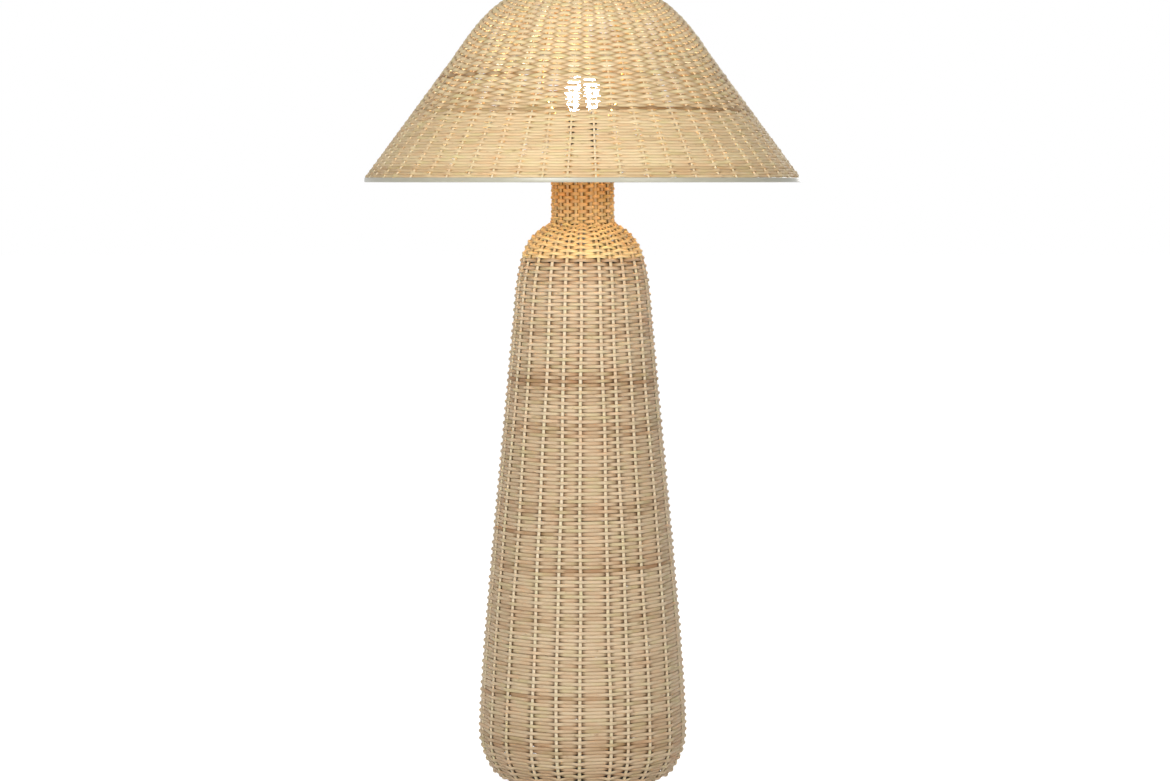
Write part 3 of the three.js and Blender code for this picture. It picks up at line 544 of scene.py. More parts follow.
@dataclass(frozen=True)
class ReedFinish:
    """Round rattan core: long fibres, strands of different tone, brown flecks, and painted shade in the
    pockets beside the stakes and between the rows.

    Colours are screen colours, 0 to 255, except above.
    """

    name: str
    dark: tuple
    middle: tuple
    pale: tuple
    fleck: tuple
    painted_shade_and_dark_row_share: float = 0.66  # how much of the painted shade's colour shows where the reed dives behind a stake, at row edges and in the dark rows
    # the colour of the painted shade in the pockets and at row edges, and of the dark rows' reed
    painted_shade_and_dark_rows: tuple = (104, 70, 40)
    above: tuple | None = None  # a colour that the reed is multiplied by above the two heights: painted warm bulb light and painted shade under the shade
    heights: tuple = (0.852, 0.885)  # in metres, between which that colour comes in
    roughness: float = 0.55
    stretch: float = 0.02  # of the fibres along the reed
    rosy: tuple = (1.0, 0.92, 0.87, 1.0)
    greenish: tuple = (0.94, 0.99, 0.88, 1.0)

    def material(self) -> Material:
        """The finish, which reads the reed's own length and section from the piece's attributes.

        Returns:
            The material.
        """
        r = Recipe(bpy.data.materials.new(self.name))
        dark, middle, pale, fleck, painted_shade_and_dark_rows = (
            linear(*colour) for colour in (self.dark, self.middle, self.pale, self.fleck, self.painted_shade_and_dark_rows))
        reed = r.kept("reed", "Vector")
        fibres = r.noise(r.mapped(reed, Scale=(self.stretch, 1.0, 1.0)), 2600.0, 2.0, 0.6)
        drift = r.noise(reed, 11.0, 2.0)
        blotch = r.noise(r.mapped(reed, Scale=(0.35, 1.0, 1.0)), 160.0, 4.0, 0.62)
        hue = r.noise(r.mapped(reed, Location=(3.1, 0.0, 0.0)), 17.0, 2.0)
        tone = r.math("ADD", r.kept("tone"), r.span(drift, 0.3, 0.7, -0.16, 0.16))
        colour = r.colours(tone, (0.0, dark), (0.5, middle), (1.0, pale))
        colour = r.blend(r.span(fibres, 0.35, 0.75, 0.0, 0.42), colour, dark)
        colour = r.blend(r.span(blotch, 0.62, 0.74, 0.0, 0.7), colour, fleck)
        tint = r.colours(hue, (0.36, self.rosy), (0.5, WHITE), (0.64, self.greenish))
        colour = r.blend(1.0, colour, tint, "MULTIPLY")
        # painted warm bulb light and painted shade under the shade, above the two heights
        if self.above is not None:
            height = r.add("SeparateXYZ", {0: r.place()}).outputs["Z"]
            painted_warm_light = r.blend(1.0, colour, self.above, "MULTIPLY")
            colour = r.blend(r.span(height, *self.heights, 0.0, 1.0), colour, painted_warm_light)
        # painted shade: the pockets beside the stakes and the rows' edges darkened, and the dark rows
        colour = r.blend(r.span(r.kept("painted_shade_and_dark_rows"), 0.0, 1.0, 0.0, self.painted_shade_and_dark_row_share), colour, painted_shade_and_dark_rows)
        rough = r.span(fibres, 0.2, 0.8, self.roughness - 0.1, self.roughness + 0.12)
        return r.surface(Base_Color=colour, Roughness=rough, Normal=r.bump(fibres, 0.00022, 0.7),
                         Specular_IOR_Level=0.3, Coat_Weight=0.05, Coat_Roughness=0.35)


@dataclass(frozen=True)
class MetalFinish:
    """Bare or plated metal with fine brushing and a little tarnish."""

    name: str
    colour: tuple
    tarnish: tuple
    roughness: float
    grain: tuple = (60.0, 60.0, 900.0)

    def material(self) -> Material:
        """The finish on the piece's own coordinates.

        Returns:
            The material.
        """
        r = Recipe(bpy.data.materials.new(self.name))
        brushed = r.noise(r.mapped(r.place(), Scale=self.grain), 4.0)
        dull = r.span(r.noise(r.place(), 90.0, 4.0), 0.45, 0.75, 0.0, 0.6)
        rough = r.span(brushed, 0.3, 0.7, self.roughness - 0.07, self.roughness + 0.12)
        return r.surface(Base_Color=r.blend(dull, linear(*self.colour), linear(*self.tarnish)), Metallic=1.0,
                         Roughness=rough, Normal=r.bump(brushed, 0.00003, 0.5))


@dataclass(frozen=True)
class CoatFinish:
    """Paint, plastic, rubber or ceramic: a coloured body with a fine texture."""

    name: str
    colour: tuple
    worn: tuple
    roughness: float
    texture: float  # size of the texture, as a noise scale
    relief: float  # its depth in metres
    coat: float = 0.0

    def material(self) -> Material:
        """The finish on the piece's own coordinates.

        Returns:
            The material.
        """
        r = Recipe(bpy.data.materials.new(self.name))
        fine = r.noise(r.place(), self.texture, 3.0, 0.6)
        wear = r.span(r.noise(r.place(), 35.0, 5.0, 0.6), 0.45, 0.8, 0.0, 0.55)
        rough = r.span(fine, 0.3, 0.7, self.roughness - 0.06, self.roughness + 0.08)
        return r.surface(Base_Color=r.blend(wear, linear(*self.colour), linear(*self.worn)), Roughness=rough,
                         Normal=r.bump(fine, self.relief, 0.8), Coat_Weight=self.coat, Coat_Roughness=0.2)


@dataclass(frozen=True)
class FeltFinish:
    """Pressed wool felt: crossed fibres at two sizes, with a soft sheen."""

    name: str = "felt"
    colour: tuple = (44, 40, 36)
    fibre: tuple = (104, 98, 90)

    def material(self) -> Material:
        """The finish on the piece's own coordinates.

        Returns:
            The material.
        """
        r = Recipe(bpy.data.materials.new(self.name))
        fibres = r.noise(r.place(), 1400.0, 5.0, 0.75)
        height = r.math("ADD", fibres, r.noise(r.place(), 260.0))
        colour = r.blend(fibres, linear(*self.colour), linear(*self.fibre))
        return r.surface(Base_Color=colour, Roughness=0.95, Normal=r.bump(height, 0.0004, 0.9),
                         Sheen_Weight=0.4)


@dataclass(frozen=True)
class GlowFinish:
    """Frosted glass lit from within, its frost a fine bump."""

    name: str = "bulb_glass"
    warm: tuple = (1.0, 0.82, 0.58, 1.0)
    strength: float = 95.0

    def material(self) -> Material:
        """The finish on the piece's own coordinates.

        Returns:
            The material.
        """
        r = Recipe(bpy.data.materials.new(self.name))
        frost = r.noise(r.place(), 3000.0, 2.0)
        colour = r.blend(r.span(frost, 0.3, 0.7, 0.0, 1.0), linear(250, 244, 232), linear(255, 251, 244))
        return r.surface(Base_Color=colour, Roughness=0.42, Normal=r.bump(frost, 0.00003, 0.4),
                         Emission_Color=self.warm, Emission_Strength=self.strength)


BODY_REED = ReedFinish("body_reed", (172, 138, 102), (217, 195, 162), (233, 214, 183), (138, 98, 64))
# the neck's warm, bright colours are partly painted warm bulb light; above adds painted shade and warmth near
# its top
NECK_REED_PAINTED_WARM = ReedFinish("neck_reed_painted_warm", (211, 168, 109), (255, 229, 171), (255, 238, 190), (150, 100, 54),
                       painted_shade_and_dark_rows=(92, 54, 18), above=(0.95, 0.745, 0.55, 1.0))
# above: painted warm bulb light on the stakes over the shoulder
BODY_STAKE = ReedFinish("body_stake_reed", (214, 190, 154), (238, 221, 189), (247, 235, 210), (160, 122, 84),
                        above=(1.0, 0.88, 0.68, 1.0), heights=(0.786, 0.8))
SHADE_REED = ReedFinish("shade_reed", (183, 148, 100), (231, 206, 164), (251, 232, 189), (146, 104, 66),
                        painted_shade_and_dark_row_share=0.72, painted_shade_and_dark_rows=(124, 88, 50))
SHADE_STAKE = ReedFinish("shade_stake_reed", (226, 202, 160), (244, 228, 194), (250, 240, 214),
                         (170, 130, 86))
BORDER_REED = ReedFinish("border_reed", (164, 130, 94), (210, 184, 148), (228, 206, 172), (124, 88, 56))
BRASS = MetalFinish("lacquered_brass", (206, 168, 98), (150, 112, 56), 0.28)
SCREW_BRASS = MetalFinish("plain_brass", (214, 180, 108), (170, 132, 70), 0.34, (200.0, 200.0, 200.0))
ZINC = MetalFinish("zinc_plate", (188, 190, 194), (138, 140, 146), 0.34)
NICKEL = MetalFinish("nickel_plate", (212, 210, 204), (168, 164, 156), 0.22)
RIM_PAINT = CoatFinish("off_white_paint", (177, 174, 156), (160, 156, 139), 0.36, 900.0, 0.00002, 0.3)
WIRE_PAINT = CoatFinish("white_wire_paint", (232, 228, 214), (208, 200, 180), 0.42, 700.0, 0.00004)
BLACK_PAINT = CoatFinish("black_wire_paint", (34, 33, 33), (54, 50, 47), 0.5, 800.0, 0.00005)
IRON = CoatFinish("painted_iron", (58, 60, 64), (80, 76, 72), 0.62, 420.0, 0.00025)
RUBBER = CoatFinish("black_rubber", (30, 30, 31), (46, 45, 44), 0.68, 1500.0, 0.00003)
PHENOLIC = CoatFinish("black_moulding", (30, 27, 24), (42, 37, 33), 0.36, 1100.0, 0.00002, 0.2)
CERAMIC = CoatFinish("white_ceramic", (228, 224, 214), (208, 202, 188), 0.5, 1300.0, 0.00003)
BULB_PLASTIC = CoatFinish("white_plastic", (238, 236, 230), (226, 222, 212), 0.42, 1600.0, 0.00002)
BLACK_GLASS = CoatFinish("black_glass", (20, 20, 24), (30, 30, 36), 0.12, 500.0, 0.00001, 0.6)
LIGHT_BOARD = CoatFinish("light_board", (238, 238, 230), (214, 210, 196), 0.4, 500.0, 0.00002)


# Woven work
class Outline:
    """A smooth outline of (radius, height) points, read by the distance along it."""

    def __init__(self, points: Array) -> None:
        """Measures the distance along the points and the way each faces out.

        Args:
            points: the points, from the lowest.
        """
        steps = np.linalg.norm(np.diff(points, axis=0, prepend=points[:1] - 1), axis=1)
        self.points = points[steps > 1e-9]
        self.along = np.append(0, np.cumsum(np.linalg.norm(np.diff(self.points, axis=0), axis=1)))
        way = unit(np.gradient(self.points, axis=0))
        self.out = np.column_stack([way[:, 1], -way[:, 0]])
        self.length = float(self.along[-1])

    def at(self, distance: Array, inward: Array | float = 0.0) -> tuple[Array, Array]:
        """The radius and height at a distance along the outline, moved inward across it.

        Args:
            distance: distances along the outline.
            inward: how far below the outer face.

        Returns:
            Radius and height: the outline's point less inward times the unit vector that faces out.
        """
        out_r, out_z = self.facing(distance)
        return (np.interp(distance, self.along, self.points[:, 0]) - inward * out_r,
                np.interp(distance, self.along, self.points[:, 1]) - inward * out_z)

    def facing(self, distance: Array) -> tuple[Array, Array]:
        """The outward direction at a distance, as its radial and its upright part."""
        r, z = (np.interp(distance, self.along, part) for part in self.out.T)
        return r / np.hypot(r, z), z / np.hypot(r, z)

    def where_height(self, height: float) -> float:
        """The distance at which a rising outline reaches a height."""
        return float(np.interp(height, self.points[:, 1], self.along))

    def where_radius(self, radius: float, start: float) -> float:
        """The distance past start at which a narrowing outline reaches a radius."""
        late = self.along >= start
        return float(np.interp(-radius, -self.points[late, 0], self.along[late]))


@dataclass(frozen=True)
class Loosening:
    """A patch in the middle of the front where the rows are thinner and flatter, so that the inside shows."""

    height: float
    reach_round: float
    reach_up: float
    thinner: float  # the share that the rows lose in the patch's middle
    between: float  # the wave's strength where they start to lose it, weakest midway between stakes

    def thinning(self, turn: Array, radius: Array, height: Array, wave: Array) -> Array:
        """The share that a row loses at each place.

        Args:
            turn: where round the piece, as an angle from the front.
            radius: the outline's radius there.
            height: its height.
            wave: the weave's wave there, 1 before a stake and -1 behind it.

        Returns:
            The share lost: thinner times exp(-(x / reach_round)^4) times exp(-(z / reach_up)^4), with x and z
            the distances from the patch's middle, and less between the stakes.
        """
        beside = radius * (np.mod(turn + TURN / 2, TURN) - TURN / 2)
        share = bell(beside, 0, self.reach_round, 4) * bell(height, self.height, self.reach_up, 4)
        return self.thinner * share * smooth_step(np.abs(wave), self.between, self.between + 0.4)


@dataclass
class Weave:
    """Plain weave on an outline: one long reed that winds up in a spiral, before and behind stakes in turn.

    An odd number of stakes makes each turn pass on the other side of every stake from the turn below.
    """

    outline: Outline
    stakes: Array  # the turn at which each stake stands, rising
    rows: Array  # distance along the outline of the reed's start in each turn, and of its end
    seed: int
    reed_half: Callable  # half the reed's thickness across the wall, by distance
    stake_half: Callable  # the same for a stake
    bend: Callable  # how far from a stake the reed bends round it, by distance
    outset: Callable = steady(0.0)  # how far the reed's crests stand out of the outline, by distance
    painted_recess_shade: Callable = steady(1.0)  # painted shade: how dark the pockets beside the stakes are, by distance
    swell: Callable = steady(-0.1)  # how much broader the reed is before a stake, as a share
    relief: Callable = steady(0.16)  # painted highlight: how much paler it is there, and painted shade, darker where it lies behind a stake
    edge: Callable = steady(0.0)  # painted shade: how dark a row's upper and lower edges are, where the rows meet
    cover: Callable = steady(0.52)  # half a row's height, as a share of the rows' pitch
    widest_pitch: float = 5.45  # the pitch past which a row grows no taller
    press: float = 0.86  # the swing as a share of the reed's and the stake's half thickness together
    forward: float = 0.5  # how far the stakes' middle lies in front of the weave's
    drift: float = 0.9  # how far the rows wander up and down
    uneven: float = 0.16  # how far they jump about besides
    strand_length: float = 3200.0
    variety: float = 0.1  # how much the strands' tones differ
    dark_heights: tuple = ()  # where the darker rows are, by height
    dark_width: float = 3.4  # how far they reach up and down
    dark_share: float = 0.0  # how far their reed takes the colour that the painted shade in the pockets uses
    dark_tone: float = 0.45  # how much darker their reed is
    loose: tuple = ()  # the Loosening patches
    parting: tuple | None = None  # turn, distance along and opening of a gap that the rows go round
    parting_reach: tuple = (11.5, 34.0)  # how far from the gap they do so, round the piece and along
    stray: float = 0.8  # how far the stakes stray from upright lines
    strength_variety: float = 0.07  # how much the reed's swings at the stakes differ
    strand_offset: float = 997.0  # gives each strand its own place in the finish's patterns
    stake_offset: float = 1013.0  # the same for each stake
    steps: int = 8
    sides: int = 8

    def depth(self, distance: Array) -> Array:
        """How far the weave's middle lies below the outline."""
        return self.swing(distance) + self.reed_half(distance) - self.outset(distance)

    def swing(self, distance: Array) -> Array:
        """How far the reed's middle goes to each side of the stakes."""
        return self.press * (self.reed_half(distance) + self.stake_half(distance))

    def wander(self, turn: Array, distance: Array) -> Array:
        """How far the rows rise and fall round the piece.

        Args:
            turn: the reed's whole turn so far.
            distance: its place along the outline.

        Returns:
            The sum of three slow waves that close after a turn.
        """
        return self.drift * (0.5 * np.cos(2 * turn + distance / 47 + self.seed)
                             + 0.3 * np.cos(5 * turn - distance / 61 + 2.1 * self.seed)
                             + 0.2 * np.cos(9 * turn + distance / 29 + 0.7 * self.seed))

    def lean(self, number: Array, distance: Array) -> Array:
        """How far a stake strays from its upright line, as a turn: two slow waves, each stake's its own."""
        waves = np.sin(distance / 71 + 2.7 * number + self.seed) + 0.6 * np.sin(distance / 33 + 5.1 * number)
        return self.stray / self.outline.at(distance)[0] * waves

    def parted(self, turn: Array, distance: Array) -> Array:
        """The rows' shift away from the gap.

        Args:
            turn: the reed's whole turn so far.
            distance: its place along the outline.

        Returns:
            Plus or minus the opening, as the row passes above or below the gap's middle, fading with the
            square of the distance round the piece and with the distance up it.
        """
        if self.parting is None:
            return np.zeros_like(turn)
        where, middle, opening = self.parting
        passes = np.round((turn - where) / TURN)
        starts = np.arange(len(self.rows)) * TURN + self.stakes[0]
        at_gap = np.interp(passes * TURN + where, starts, self.rows)
        beside = self.outline.at(distance)[0] * (turn - where - passes * TURN)
        beside_reach, along_reach = self.parting_reach
        fade = bell(beside, 0, beside_reach) * np.exp(-np.abs(distance - middle) / along_reach)
        return np.where(at_gap >= middle, 1.0, -1.0) * opening * fade

    def wave(self, at: Array, knots: Array, distance: Array, first: int, strength: Array) -> Array:
        """How far the reed lies before or behind the weave's middle, as a share of the swing.

        Args:
            at: the number of the stake last passed, from the first, and the share of the way to the next.
            knots: the turn at which each of these stakes stands.
            distance: the reed's distance along the outline.
            first: the first stake's number from the lowest row.
            strength: of the wave at each stake.

        Returns:
            Between stakes K and K + 1, (-1)^K (b(x) - b(y)) times the strength, with x and y the distances to
            the two stakes and b(x) = cos^2(pi x / 2 reach) for x below reach, which is the smaller of bend
            and the two stakes' distance.
        """
        low = np.minimum(np.floor(at).astype(int), len(knots) - 2)
        gap = self.outline.at(distance)[0] * (knots[low + 1] - knots[low])
        reach = np.minimum(self.bend(distance), gap)
        near, far = (np.cos(np.pi / 2 * np.clip(gap * share / reach, 0, 1)) ** 2
                     for share in (at - low, 1 - (at - low)))
        side = np.where((low + first) % 2 == 0, 1.0, -1.0)
        return side * (near - far) * np.interp(at + first, np.arange(len(strength)), strength)

    def reed(self, first: int, last: int) -> Patch:
        """The reed from one turn to another.

        Args:
            first, last: the turns it starts and ends at, counted from the lowest row.

        Returns:
            The reed as an oval tube, its middle swing times the wave before or behind the weave's.
        """
        rng = np.random.default_rng(self.seed + 17)
        count, table = len(self.stakes), np.arange(len(self.rows))
        strength = 1 + self.strength_variety * rng.standard_normal(len(table) * count + 2)
        jitter = self.uneven * rng.standard_normal(len(table) * 7 + 9)
        number = np.arange(first * count, last * count + 1)
        knots = (self.stakes[number % count] + number // count * TURN
                 + self.lean(number % count, np.interp(number / count, table, self.rows)))
        share = np.arange(self.steps) / self.steps
        share = share - 0.05 * np.sin(TURN * share)  # closer together at the stakes
        at = np.append(np.arange(len(number) - 1)[:, None] + share, len(number) - 1)
        turn = np.interp(at, np.arange(len(number)), knots)
        passed = (turn - self.stakes[0]) / TURN
        distance = np.interp(passed, table, self.rows)
        wave = self.wave(at, knots, distance, first * count, strength)
        jump = np.interp(passed * 7, np.arange(len(jitter)), jitter)
        placed = distance + self.wander(turn, distance) + jump + self.parted(turn, distance)
        placed = np.clip(placed, self.rows[0] * 0.4, self.outline.length)
        loss = sum((part.thinning(turn, *self.outline.at(placed), wave) for part in self.loose), 0 * at)
        inward = self.depth(distance) - self.swing(distance) * wave * (1 - loss)
        radius, height = self.outline.at(placed, inward)
        out_r, out_z = self.outline.facing(placed)
        pitch = np.minimum(np.interp(passed, table[:-1] + 0.5, np.diff(self.rows)), self.widest_pitch)
        half_up = self.cover(distance) * pitch * (1 + self.swell(distance) * wave)
        half_up *= (1 + 0.02 * np.sin(at * 0.31 + self.seed)) * (1 - loss)
        patch = tube(around(radius, turn, height), around(out_r, turn, out_z),
                     self.reed_half(distance) * (1 - loss), half_up, self.sides)
        dark = self.dark_rows(turn, height)
        # painted shade where the reed dives behind a stake, and the dark rows' darker reed
        painted_shade_and_dark_rows = np.maximum(smooth_step(-wave, 0.12, 0.9) * self.painted_recess_shade(distance), self.dark_share * dark)
        # painted shade along each row's upper and lower edge
        rim = np.sin(np.arange(self.sides) / self.sides * TURN) ** 4
        painted_edge_shade_and_dark_rows = np.maximum(painted_shade_and_dark_rows[:, None], self.edge(distance)[:, None] * rim)
        patch.values["painted_shade_and_dark_rows"] = np.append(painted_edge_shade_and_dark_rows, painted_shade_and_dark_rows[[0, -1]])
        # painted highlight on the reed before a stake and painted shade behind it, with the darker rows
        in_front = 2 * smooth_step(wave, -0.35, 0.65) - 1
        self.colour(patch, self.relief(distance) * in_front - self.dark_tone * dark, first)
        return replace(patch, corners=self.flat_map(len(turn) - 1, last - first))

    def dark_rows(self, turn: Array, height: Array) -> Array:
        """How far a place is in a dark row: a bell round each dark height, stronger and weaker by turns."""
        dark = sum((bell(height, middle, self.dark_width) for middle in self.dark_heights), 0 * height)
        return np.clip(dark, 0, 1) * (0.55 + 0.45 * np.sin(1.7 * turn + height / 23 + 2.0))

    def colour(self, patch: Patch, painted_light_and_dark_rows: Array, first: int) -> None:
        """Gives a reed its strands' tones, and each strand its own place in the finish's patterns.

        Args:
            patch: the tube.
            painted_light_and_dark_rows: what is added to each ring's tone: painted highlight and shade by
                where the reed lies, and the dark rows' darkening.
            first: the turn it starts at.
        """
        rng = np.random.default_rng(self.seed + 5)
        place = patch.values["reed"]
        length = place[:-2:self.sides, 0]
        start = first * TURN * 140.0  # about the length of reed below, with 140 mm as the middle radius
        strand = ((start + length) // self.strand_length).astype(int)
        tones = np.clip(0.52 + self.variety * rng.standard_normal(strand.max() + 2), 0.1, 0.9)
        tone = tones[strand] + 0.05 * np.sin(length / 83 + strand) + painted_light_and_dark_rows
        patch.values["tone"] = np.append(np.repeat(tone, self.sides), tone[[0, -1]])
        place[:, 0] += start + self.strand_offset * np.append(np.repeat(strand, self.sides), strand[[0, -1]])

    def flat_map(self, rings: int, rows: int) -> Array:
        """A reed's flat map, with a strip for each turn.

        Args:
            rings: how many rings of faces it has.
            rows: how many turns.

        Returns:
            The faces' corners: u is the share of the turn, and v the turn and the share round the section.
        """
        in_turn, ring = len(self.stakes) * self.steps, np.arange(rings)[:, None]
        v = (ring // in_turn + 0.05 + 0.9 * np.arange(self.sides) / self.sides) / rows
        return flat_corners(ring % in_turn / in_turn, v, 1 / in_turn, 0.9 / self.sides / rows)

    def stake_rods(self, start: float, end: float, half_round: Callable, spacing: float = 7.0) -> Patch:
        """The stakes as oval rods along the outline.

        Args:
            start, end: distances along the outline.
            half_round: half a stake's width round the piece, by distance.
            spacing: distance between its rings.

        Returns:
            The rods, each a little in front of the weave's middle line.
        """
        rng = np.random.default_rng(self.seed + 31)
        distance = np.linspace(start, end, int((end - start) / spacing) + 2)[None]
        number = np.arange(len(self.stakes))[:, None]
        turn = self.stakes[:, None] + self.lean(number, distance)
        radius, height = self.outline.at(distance, self.depth(distance) - self.forward)
        out_r, out_z = self.outline.facing(distance)
        patch = tube(around(radius, turn, height), around(out_r, turn, out_z),
                     self.stake_half(distance) * 0.97, half_round(distance), self.sides)
        shape = (len(number), distance.shape[1] * self.sides)
        tone = np.clip(0.55 + 0.14 * rng.standard_normal(len(number)), 0.1, 0.95)
        patch.values["tone"] = np.append(np.repeat(tone, shape[1]), np.repeat(tone, 2))
        owner = np.append(np.repeat(number, shape[1]), np.repeat(number, 2))
        patch.values["reed"][:, 0] += self.stake_offset * owner
        rings = distance.shape[1] - 1
        v = (number[:, None] + 0.05 + 0.9 * np.arange(self.sides) / self.sides) / len(number)
        u = np.arange(rings)[:, None] / rings
        return replace(patch, corners=flat_corners(u, v, 1 / rings, 0.9 / self.sides / len(number)))


def spaced_rows(*zones: tuple[float, float, float]) -> Array:
    """Distances of rows, evenly spaced in each zone (start, end, pitch) and as near its pitch as fits."""
    parts = [np.linspace(a, b, max(1, round((b - a) / pitch)) + 1) for a, b, pitch in zones]
    return np.concatenate([parts[0]] + [part[1:] for part in parts[1:]])


def rope(radius: float, height: float, reach: float, strands: int, twists: int, thick: float, seed: int,
         sides: int = 10) -> Patch:
    """A border of strands twisted round each other, closed in a ring.

    Args:
        radius, height: of the ring's middle.
        reach: distance of each strand's middle from the ring's middle.
        strands, twists: how many, and how many whole turns each makes round the ring's middle.
        thick: half a strand's thickness.
        seed: for the strands' tones.
        sides: faces round a strand.

    Returns:
        The strands. Strand k passes radius + reach cos(p) and height + reach sin(p) with
        p = twists * turn + k / strands of a turn.
    """
    turn = np.arange(twists * 14) / (twists * 14) * TURN
    phase = twists * turn + np.arange(strands)[:, None] / strands * TURN
    path = around(radius + reach * np.cos(phase), turn, height + reach * np.sin(phase))
    patch = tube(path, around(np.cos(phase), turn, np.sin(phase)), thick, thick * 1.06, sides, closed=True)
    tone = np.clip(0.5 + 0.15 * np.random.default_rng(seed).standard_normal(strands), 0.1, 0.9)
    patch.values["tone"] = np.repeat(tone, len(turn) * sides)
    return patch


@dataclass
class WovenBody:
    """The bottle: 25 stakes from foot to neck, the body's weave, the neck's finer one, and both borders."""

    stake_degrees: tuple = (
        -173.3, -160.5, -148, -135.5, -123, -105, -91, -77, -62.7, -47, -29.3, -14.7, -1.5, 15.6, 26.3, 40.2,
        57.5, 76.5, 90.5, 105, 119.5, 134, 149, 163.5, 173.3)
    widest: tuple = (155.5, 90.0)  # radius and height, like the next two
    shoulder: tuple = (102.0, 729.0)
    neck_foot: tuple = (50.0, 846.0)
    neck_radius: float = 46.0
    neck_straight: tuple = (862.0, 945.0)  # the heights between which the neck is straight
    foot_slope: float = 32.0  # degrees
    neck_slope: float = 28.0
    first_row: float = 3.2
    first_lag: float = 3.2  # how much less the first turn climbs, so that little of a wedge is left below it
    catch_up: float = 3.0  # the turns in which most of that is made up
    body_pitch: float = 5.32
    line_pitch: float = 6.3  # between the rows that make the thin dark lines at the join
    line_reach: tuple = (5.6, 7.0)  # how far those rows reach below and above the join
    shoulder_pitch: float = 4.75
    neck_pitch: float = 5.1
    join_height: float = 791.0
    neck_height: float = 858.0
    weave_top: float = 936.6
    grommet_opening: float = 8.2
    dark_heights: tuple = (616.0, 567.0, 394.0, 343.0, 338.0, 156.0, 148.0)

    def outline(self) -> Outline:
        """The bottle's outer outline, from the foot border to the neck's top.

        Returns:
            Four Bezier curves and a straight line.
        """
        up, out, back = np.array([0, 1]), direction(self.foot_slope), direction(-self.neck_slope)
        widest, shoulder, neck = np.array(self.widest), np.array(self.shoulder), np.array(self.neck_foot)
        start = np.array([BORDER_RING, BORDER_HEIGHT]) + out * (BORDER_RADIUS + WALL_GAP)
        start = start + 4 * np.array([out[1], -out[0]])
        lean = unit(shoulder - widest)
        rise, side, climb = widest[1] - start[1], shoulder[1] - widest[1], neck[1] - shoulder[1]
        straight = np.array([[self.neck_radius, z] for z in self.neck_straight])
        bend = (self.neck_radius, neck[1] + 4 * math.tan(math.radians(self.neck_slope)))
        return Outline(np.concatenate([
            bezier(start, start + out * rise * 0.4, widest - up * rise * 0.58, widest, steps=60),
            bezier(widest, widest + up * side * 0.16, shoulder - lean * side * 0.34, shoulder, steps=90),
            bezier(shoulder, shoulder + lean * climb * 0.52, neck + back * climb * 0.37, neck, steps=60),
            bezier(neck, bend, straight[0], steps=20),
            straight]))

    def weave(self) -> Weave:
        """The body's and the neck's weave.

        Returns:
            The weave, with its rows, its reeds' thickness and the gap for the grommet.
        """
        outline = self.outline()
        join, neck, top, gap = (outline.where_height(z) for z in (self.join_height, self.neck_height,
                                                                  self.weave_top, GROMMET_HEIGHT))
        low_line, high_line = join - self.line_reach[0], join + self.line_reach[1]
        rows = spaced_rows(
            (self.first_row, low_line, self.body_pitch), (low_line, high_line, self.line_pitch),
            (high_line, neck, self.shoulder_pitch), (neck, top, self.neck_pitch))
        rows[1:] -= self.first_lag * np.exp(-np.arange(len(rows) - 1) / self.catch_up)
        # the relief is painted highlight and shade on the reed's crests, strongest on the neck
        return Weave(
            outline, np.radians(self.stake_degrees), rows, seed=3,
            reed_half=ramp(1.65, 1.45, join, neck), stake_half=ramp(1.95, 1.6, join, neck), bend=steady(12.0),
            cover=ramp(0.52, 0.555, join + 4, join + 16),
            relief=total(ramp(0.16, 0.06, join, join + 20), ramp(0.0, 0.3, neck - 8, neck + 8)),
            outset=total(ramp(0.0, 1.8, 0, 30), crest(3.2, 24, 18), crest(1.3, 60, 45),
                         crest(1.4, join + 35, 30)),
            dark_heights=self.dark_heights, parting=(GROMMET_TURN, gap, self.grommet_opening))

    def make(self) -> None:
        """Builds the stakes, the four stretches of weave and the two borders."""
        weave = self.weave()
        reed, neck, stake, border = (f.material() for f in (BODY_REED, NECK_REED_PAINTED_WARM, BODY_STAKE, BORDER_REED))
        where = weave.outline.where_height
        join = int(np.searchsorted(weave.rows, where(self.join_height) + 4.0))
        cuts = [0, round(join / 3), round(join * 2 / 3), join, len(weave.rows) - 1]
        parts = [("body_weave_low", "body_skin", reed), ("body_weave_middle", "body_skin", reed),
                 ("body_weave_high", "body_skin", reed), ("neck_weave", "neck_skin", neck)]
        pieces = [(name, weave.reed(*ends), node, finish)
                  for (name, node, finish), ends in zip(parts, zip(cuts, cuts[1:]))]
        rods = weave.stake_rods(0.0, weave.outline.length - 6.0, ramp(2.6, 2.1, where(780), where(850)))
        foot_rope = rope(BORDER_RING, BORDER_HEIGHT, reach=2.75, strands=3, twists=26, thick=2.75, seed=8)
        neck_rope = rope(42.0, 940.9, reach=1.95, strands=2, twists=15, thick=2.0, seed=9)
        pieces += [("body_stakes", rods, "body_skin neck_skin", stake),
                   ("foot_border_rope", foot_rope, "foot_border", border),
                   ("neck_border_rope", neck_rope, "neck_skin", border)]
        for name, patch, nodes, finish in pieces:
            build(name, patch, nodes, finish, sharp=ALL_SMOOTH)


